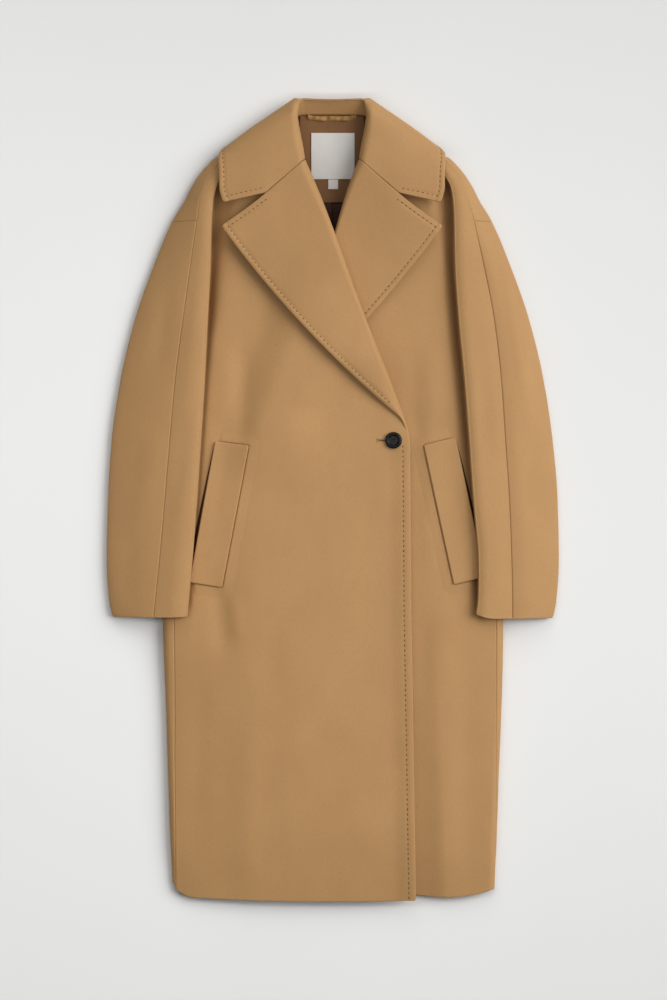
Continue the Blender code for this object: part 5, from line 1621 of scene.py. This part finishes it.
def add_node(tree, kind, values, **settings):
    """A node with its settings, its inputs linked to sockets or set to plain values."""
    node = tree.nodes.new(kind)
    for label, value in settings.items():
        setattr(node, label, value)
    for label, value in values.items():
        feed(tree, node.inputs[label], value)
    return node


stitching = bpy.data.node_groups.new("Stitch row", "GeometryNodeTree")
stitching.interface.new_socket("Geometry", in_out="INPUT", socket_type="NodeSocketGeometry")
for label in ("Spacing", "Length", "Thickness", "Turn"):
    stitching.interface.new_socket(label, in_out="INPUT", socket_type="NodeSocketFloat")
stitching.interface.new_socket("Seed", in_out="INPUT", socket_type="NodeSocketInt")
stitching.interface.new_socket("Material", in_out="INPUT", socket_type="NodeSocketMaterial")
stitching.interface.new_socket("Geometry", in_out="OUTPUT", socket_type="NodeSocketGeometry")
given = stitching.nodes.new("NodeGroupInput").outputs
line = add_node(stitching, "GeometryNodeMeshToCurve", {"Mesh": given["Geometry"]})
even = add_node(stitching, "GeometryNodeResampleCurve",
                {"Curve": line.outputs["Curve"], "Length": given["Spacing"]}, mode="LENGTH")
along = add_node(stitching, "GeometryNodeInputTangent", {})
aim = add_node(stitching, "FunctionNodeAlignRotationToVector", {"Vector": along.outputs["Tangent"]}, axis="X")
euler = add_node(stitching, "ShaderNodeCombineXYZ", {"Z": given["Turn"]})
turn = add_node(stitching, "FunctionNodeEulerToRotation", {"Euler": euler.outputs["Vector"]})
turned = add_node(stitching, "FunctionNodeRotateRotation",
                  {"Rotation": aim.outputs["Rotation"], "Rotate By": turn.outputs["Rotation"]},
                  rotation_space="LOCAL")
uneven = add_node(stitching, "FunctionNodeRandomValue", {2: SHORTEST, 3: LONGEST, "Seed": given["Seed"]})
length = add_node(stitching, "ShaderNodeMath", {0: given["Length"], 1: uneven.outputs[1]},
                  operation="MULTIPLY")
size = add_node(stitching, "ShaderNodeCombineXYZ",
                {"X": length.outputs[0], "Y": given["Thickness"], "Z": given["Thickness"]})
bead = add_node(stitching, "GeometryNodeMeshUVSphere",
                {"Segments": STITCH_SIDES, "Rings": STITCH_RINGS, "Radius": 0.5})
sewn = add_node(stitching, "GeometryNodeInstanceOnPoints",
                {"Points": even.outputs["Curve"], "Instance": bead.outputs["Mesh"],
                 "Rotation": turned.outputs["Rotation"], "Scale": size.outputs["Vector"]})
real = add_node(stitching, "GeometryNodeRealizeInstances", {"Geometry": sewn.outputs["Instances"]})
coloured = add_node(stitching, "GeometryNodeSetMaterial",
                    {"Geometry": real.outputs["Geometry"], "Material": given["Material"]})
ending = stitching.nodes.new("NodeGroupOutput")
stitching.links.new(coloured.outputs["Geometry"], ending.inputs["Geometry"])


def sew(name, points, **values):
    """Stitches along a line of points, as a finished mesh."""
    mesh = bpy.data.meshes.new(name)
    mesh.from_pydata(np.asarray(points).tolist(), [(i, i + 1) for i in range(len(points) - 1)], [])
    piece = put(name, mesh)
    row = piece.modifiers.new("Stitches", "NODES")
    row.node_group = stitching
    for item in stitching.interface.items_tree:
        if item.in_out == "INPUT" and item.name in values:
            row[item.identifier] = values[item.name]
    made = bpy.data.meshes.new_from_object(piece.evaluated_get(bpy.context.evaluated_depsgraph_get()))
    piece.modifiers.remove(row)
    piece.data = made
    made.shade_smooth()
    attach(piece, "root")
    print(f"{name}: {len(made.polygons) // (STITCH_SIDES * STITCH_RINGS)} stitches")
    return piece


print("stitch tree:", len(stitching.nodes), "nodes")

# %% [markdown]
# The rows run just inside the free edges of the collar, the lapels and the front, in the trough that was
# pressed in for them. Each line is read off the finished cloth, so the stitches lie on it exactly.

# %% Pick stitches
PICK = {"Spacing": 0.0074, "Length": 0.0034, "Thickness": 0.0014, "Turn": 0.0, "Material": pick_thread}
LINE_STEP, END_TRIM, HEM_TRIM = 0.001, 0.002, 0.006    # points of a line, and what is left free at its ends
PICK_FROM, PICK_NOTCH = 0.05, NOTCH - 0.04             # shares of a lapel where its two rows start


def inside_line(grid, inset, trims):
    """Points a set distance inside the last column of a cloth, trimmed at both ends."""
    left = edge_distances(grid)[3]
    line = np.array([[np.interp(inset, far[::-1], row[::-1, k]) for k in range(3)]
                     for far, row in zip(left, grid)])
    walked = np.concatenate([[0], np.cumsum(np.linalg.norm(np.diff(line, axis=0), axis=1))])
    at = np.arange(trims[0], walked[-1] - trims[1], LINE_STEP)
    return np.stack([np.interp(at, walked, line[:, k]) for k in range(3)], axis=-1)


notch = collar_turn + 1 + int(np.searchsorted(collar_share, 1.0))
first_end = np.swapaxes(collar_outer[::-1, notch:], 0, 1)
last_end = np.swapaxes(collar_outer[:, notch:], 0, 1)
sew("pick_collar_end_right", inside_line(first_end, STITCH_IN, (END_TRIM, STITCH_IN)), Seed=1, **PICK)
sew("pick_collar_edge", inside_line(collar_outer, STITCH_IN, (STITCH_IN, STITCH_IN)), Seed=2, **PICK)
sew("pick_collar_end_left", inside_line(last_end, STITCH_IN, (END_TRIM, STITCH_IN)), Seed=3, **PICK)
for side in (RIGHT, LEFT):
    outer, t, share = lapel_grids[side]
    rows = outer[int(np.searchsorted(t, PICK_FROM)):]
    sew(f"pick_lapel_edge_{name_of(side)}", inside_line(rows, STITCH_IN, (0, STITCH_IN)), Seed=4, **PICK)
    end = np.swapaxes(outer[:, lapel_turn + 1 + int(np.searchsorted(share, PICK_NOTCH)):], 0, 1)
    sew(f"pick_lapel_end_{name_of(side)}", inside_line(end, STITCH_IN, (END_TRIM, STITCH_IN)), Seed=5, **PICK)
height_of_rows = front_outer[RIGHT][:, -1, 1]
rows = front_outer[RIGHT][height_of_rows < EDGE_BAND_END - END_TRIM]
sew("pick_front_edge", inside_line(rows, FRONT_STITCH_IN, (HEM_TRIM, 0)), Seed=6, **PICK)

# %% [markdown]
# The buttonhole is a slit that shows beside the button, bound with close purl stitches and closed at its end
# with a bar tack. The same tree sews both, with the stitches turned across the line or along it.

# %% Buttonhole and button thread
HOLE_START, HOLE_END, HOLE_Y = 0.0680, 0.0960, BUTTON_AT[1]
SLIT_WIDTH, SLIT_HEIGHT, PURL_OFF, TACK_HALF, TACK_OFF = 0.0011, 0.0008, 0.0011, 0.0026, 0.0004
PURL = {"Spacing": 0.0008, "Length": 0.0015, "Thickness": 0.0008, "Turn": math.pi / 2,
        "Material": hole_thread}
TACK = {"Spacing": 0.0011, "Length": 0.0022, "Thickness": 0.0012, "Turn": 0.0, "Material": hole_thread}
STRAND, STRAND_UP = (0.0042, 0.0010, 0.0010), 0.0003    # a strand between two holes, above the button's dish


def on_front(x, y):
    """Points on the right front's outer face."""
    x, y = np.broadcast_arrays(np.asarray(x, float), np.asarray(y, float))
    return np.stack([x, y, face_height(RIGHT, x, y)], axis=-1)


def ovals(name, centres, sizes, finish):
    """Small ovals in one mesh, each with a centre and its three full sizes."""
    shape = bmesh.new()
    for centre, size in zip(centres, sizes):
        made = bmesh.ops.create_uvsphere(shape, u_segments=20, v_segments=10, radius=0.5)["verts"]
        bmesh.ops.scale(shape, vec=size, verts=made)
        bmesh.ops.translate(shape, vec=centre, verts=made)
    mesh = bpy.data.meshes.new(name)
    shape.to_mesh(mesh)
    shape.free()
    mesh.materials.append(finish)
    mesh.shade_smooth()
    piece = put(name, mesh)
    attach(piece, "root")
    return piece


x = np.arange(HOLE_START, HOLE_END, 0.0005)
# The slit is a black oval laid on the front: painted shade for the cut between the purl stitches.
slit = on_front((HOLE_START + HOLE_END) / 2, HOLE_Y)
ovals("buttonhole_slit_painted_shade", [slit], [(HOLE_END - HOLE_START, SLIT_WIDTH, SLIT_HEIGHT)], black_thread)
for name, off in (("purl_upper", PURL_OFF), ("purl_lower", -PURL_OFF)):
    sew(name, on_front(x, HOLE_Y + off), Seed=7, **PURL)
y = np.arange(HOLE_Y - TACK_HALF, HOLE_Y + TACK_HALF, 0.0004)
sew("bar_tack", on_front(HOLE_START - TACK_OFF, y), Seed=8, **TACK)
dish = button_base + BUTTON_PROFILE[0][1] * BUTTON_HEIGHT + STRAND_UP
half = BUTTON_HOLE_OFF * math.sqrt(0.5)
strands = [(BUTTON_AT[0], BUTTON_AT[1] + off, dish) for off in (-half, half)]
ovals("button_thread", strands, [STRAND] * 2, black_thread)
print("buttonhole:", round(1000 * (HOLE_END - HOLE_START)), "mm long")
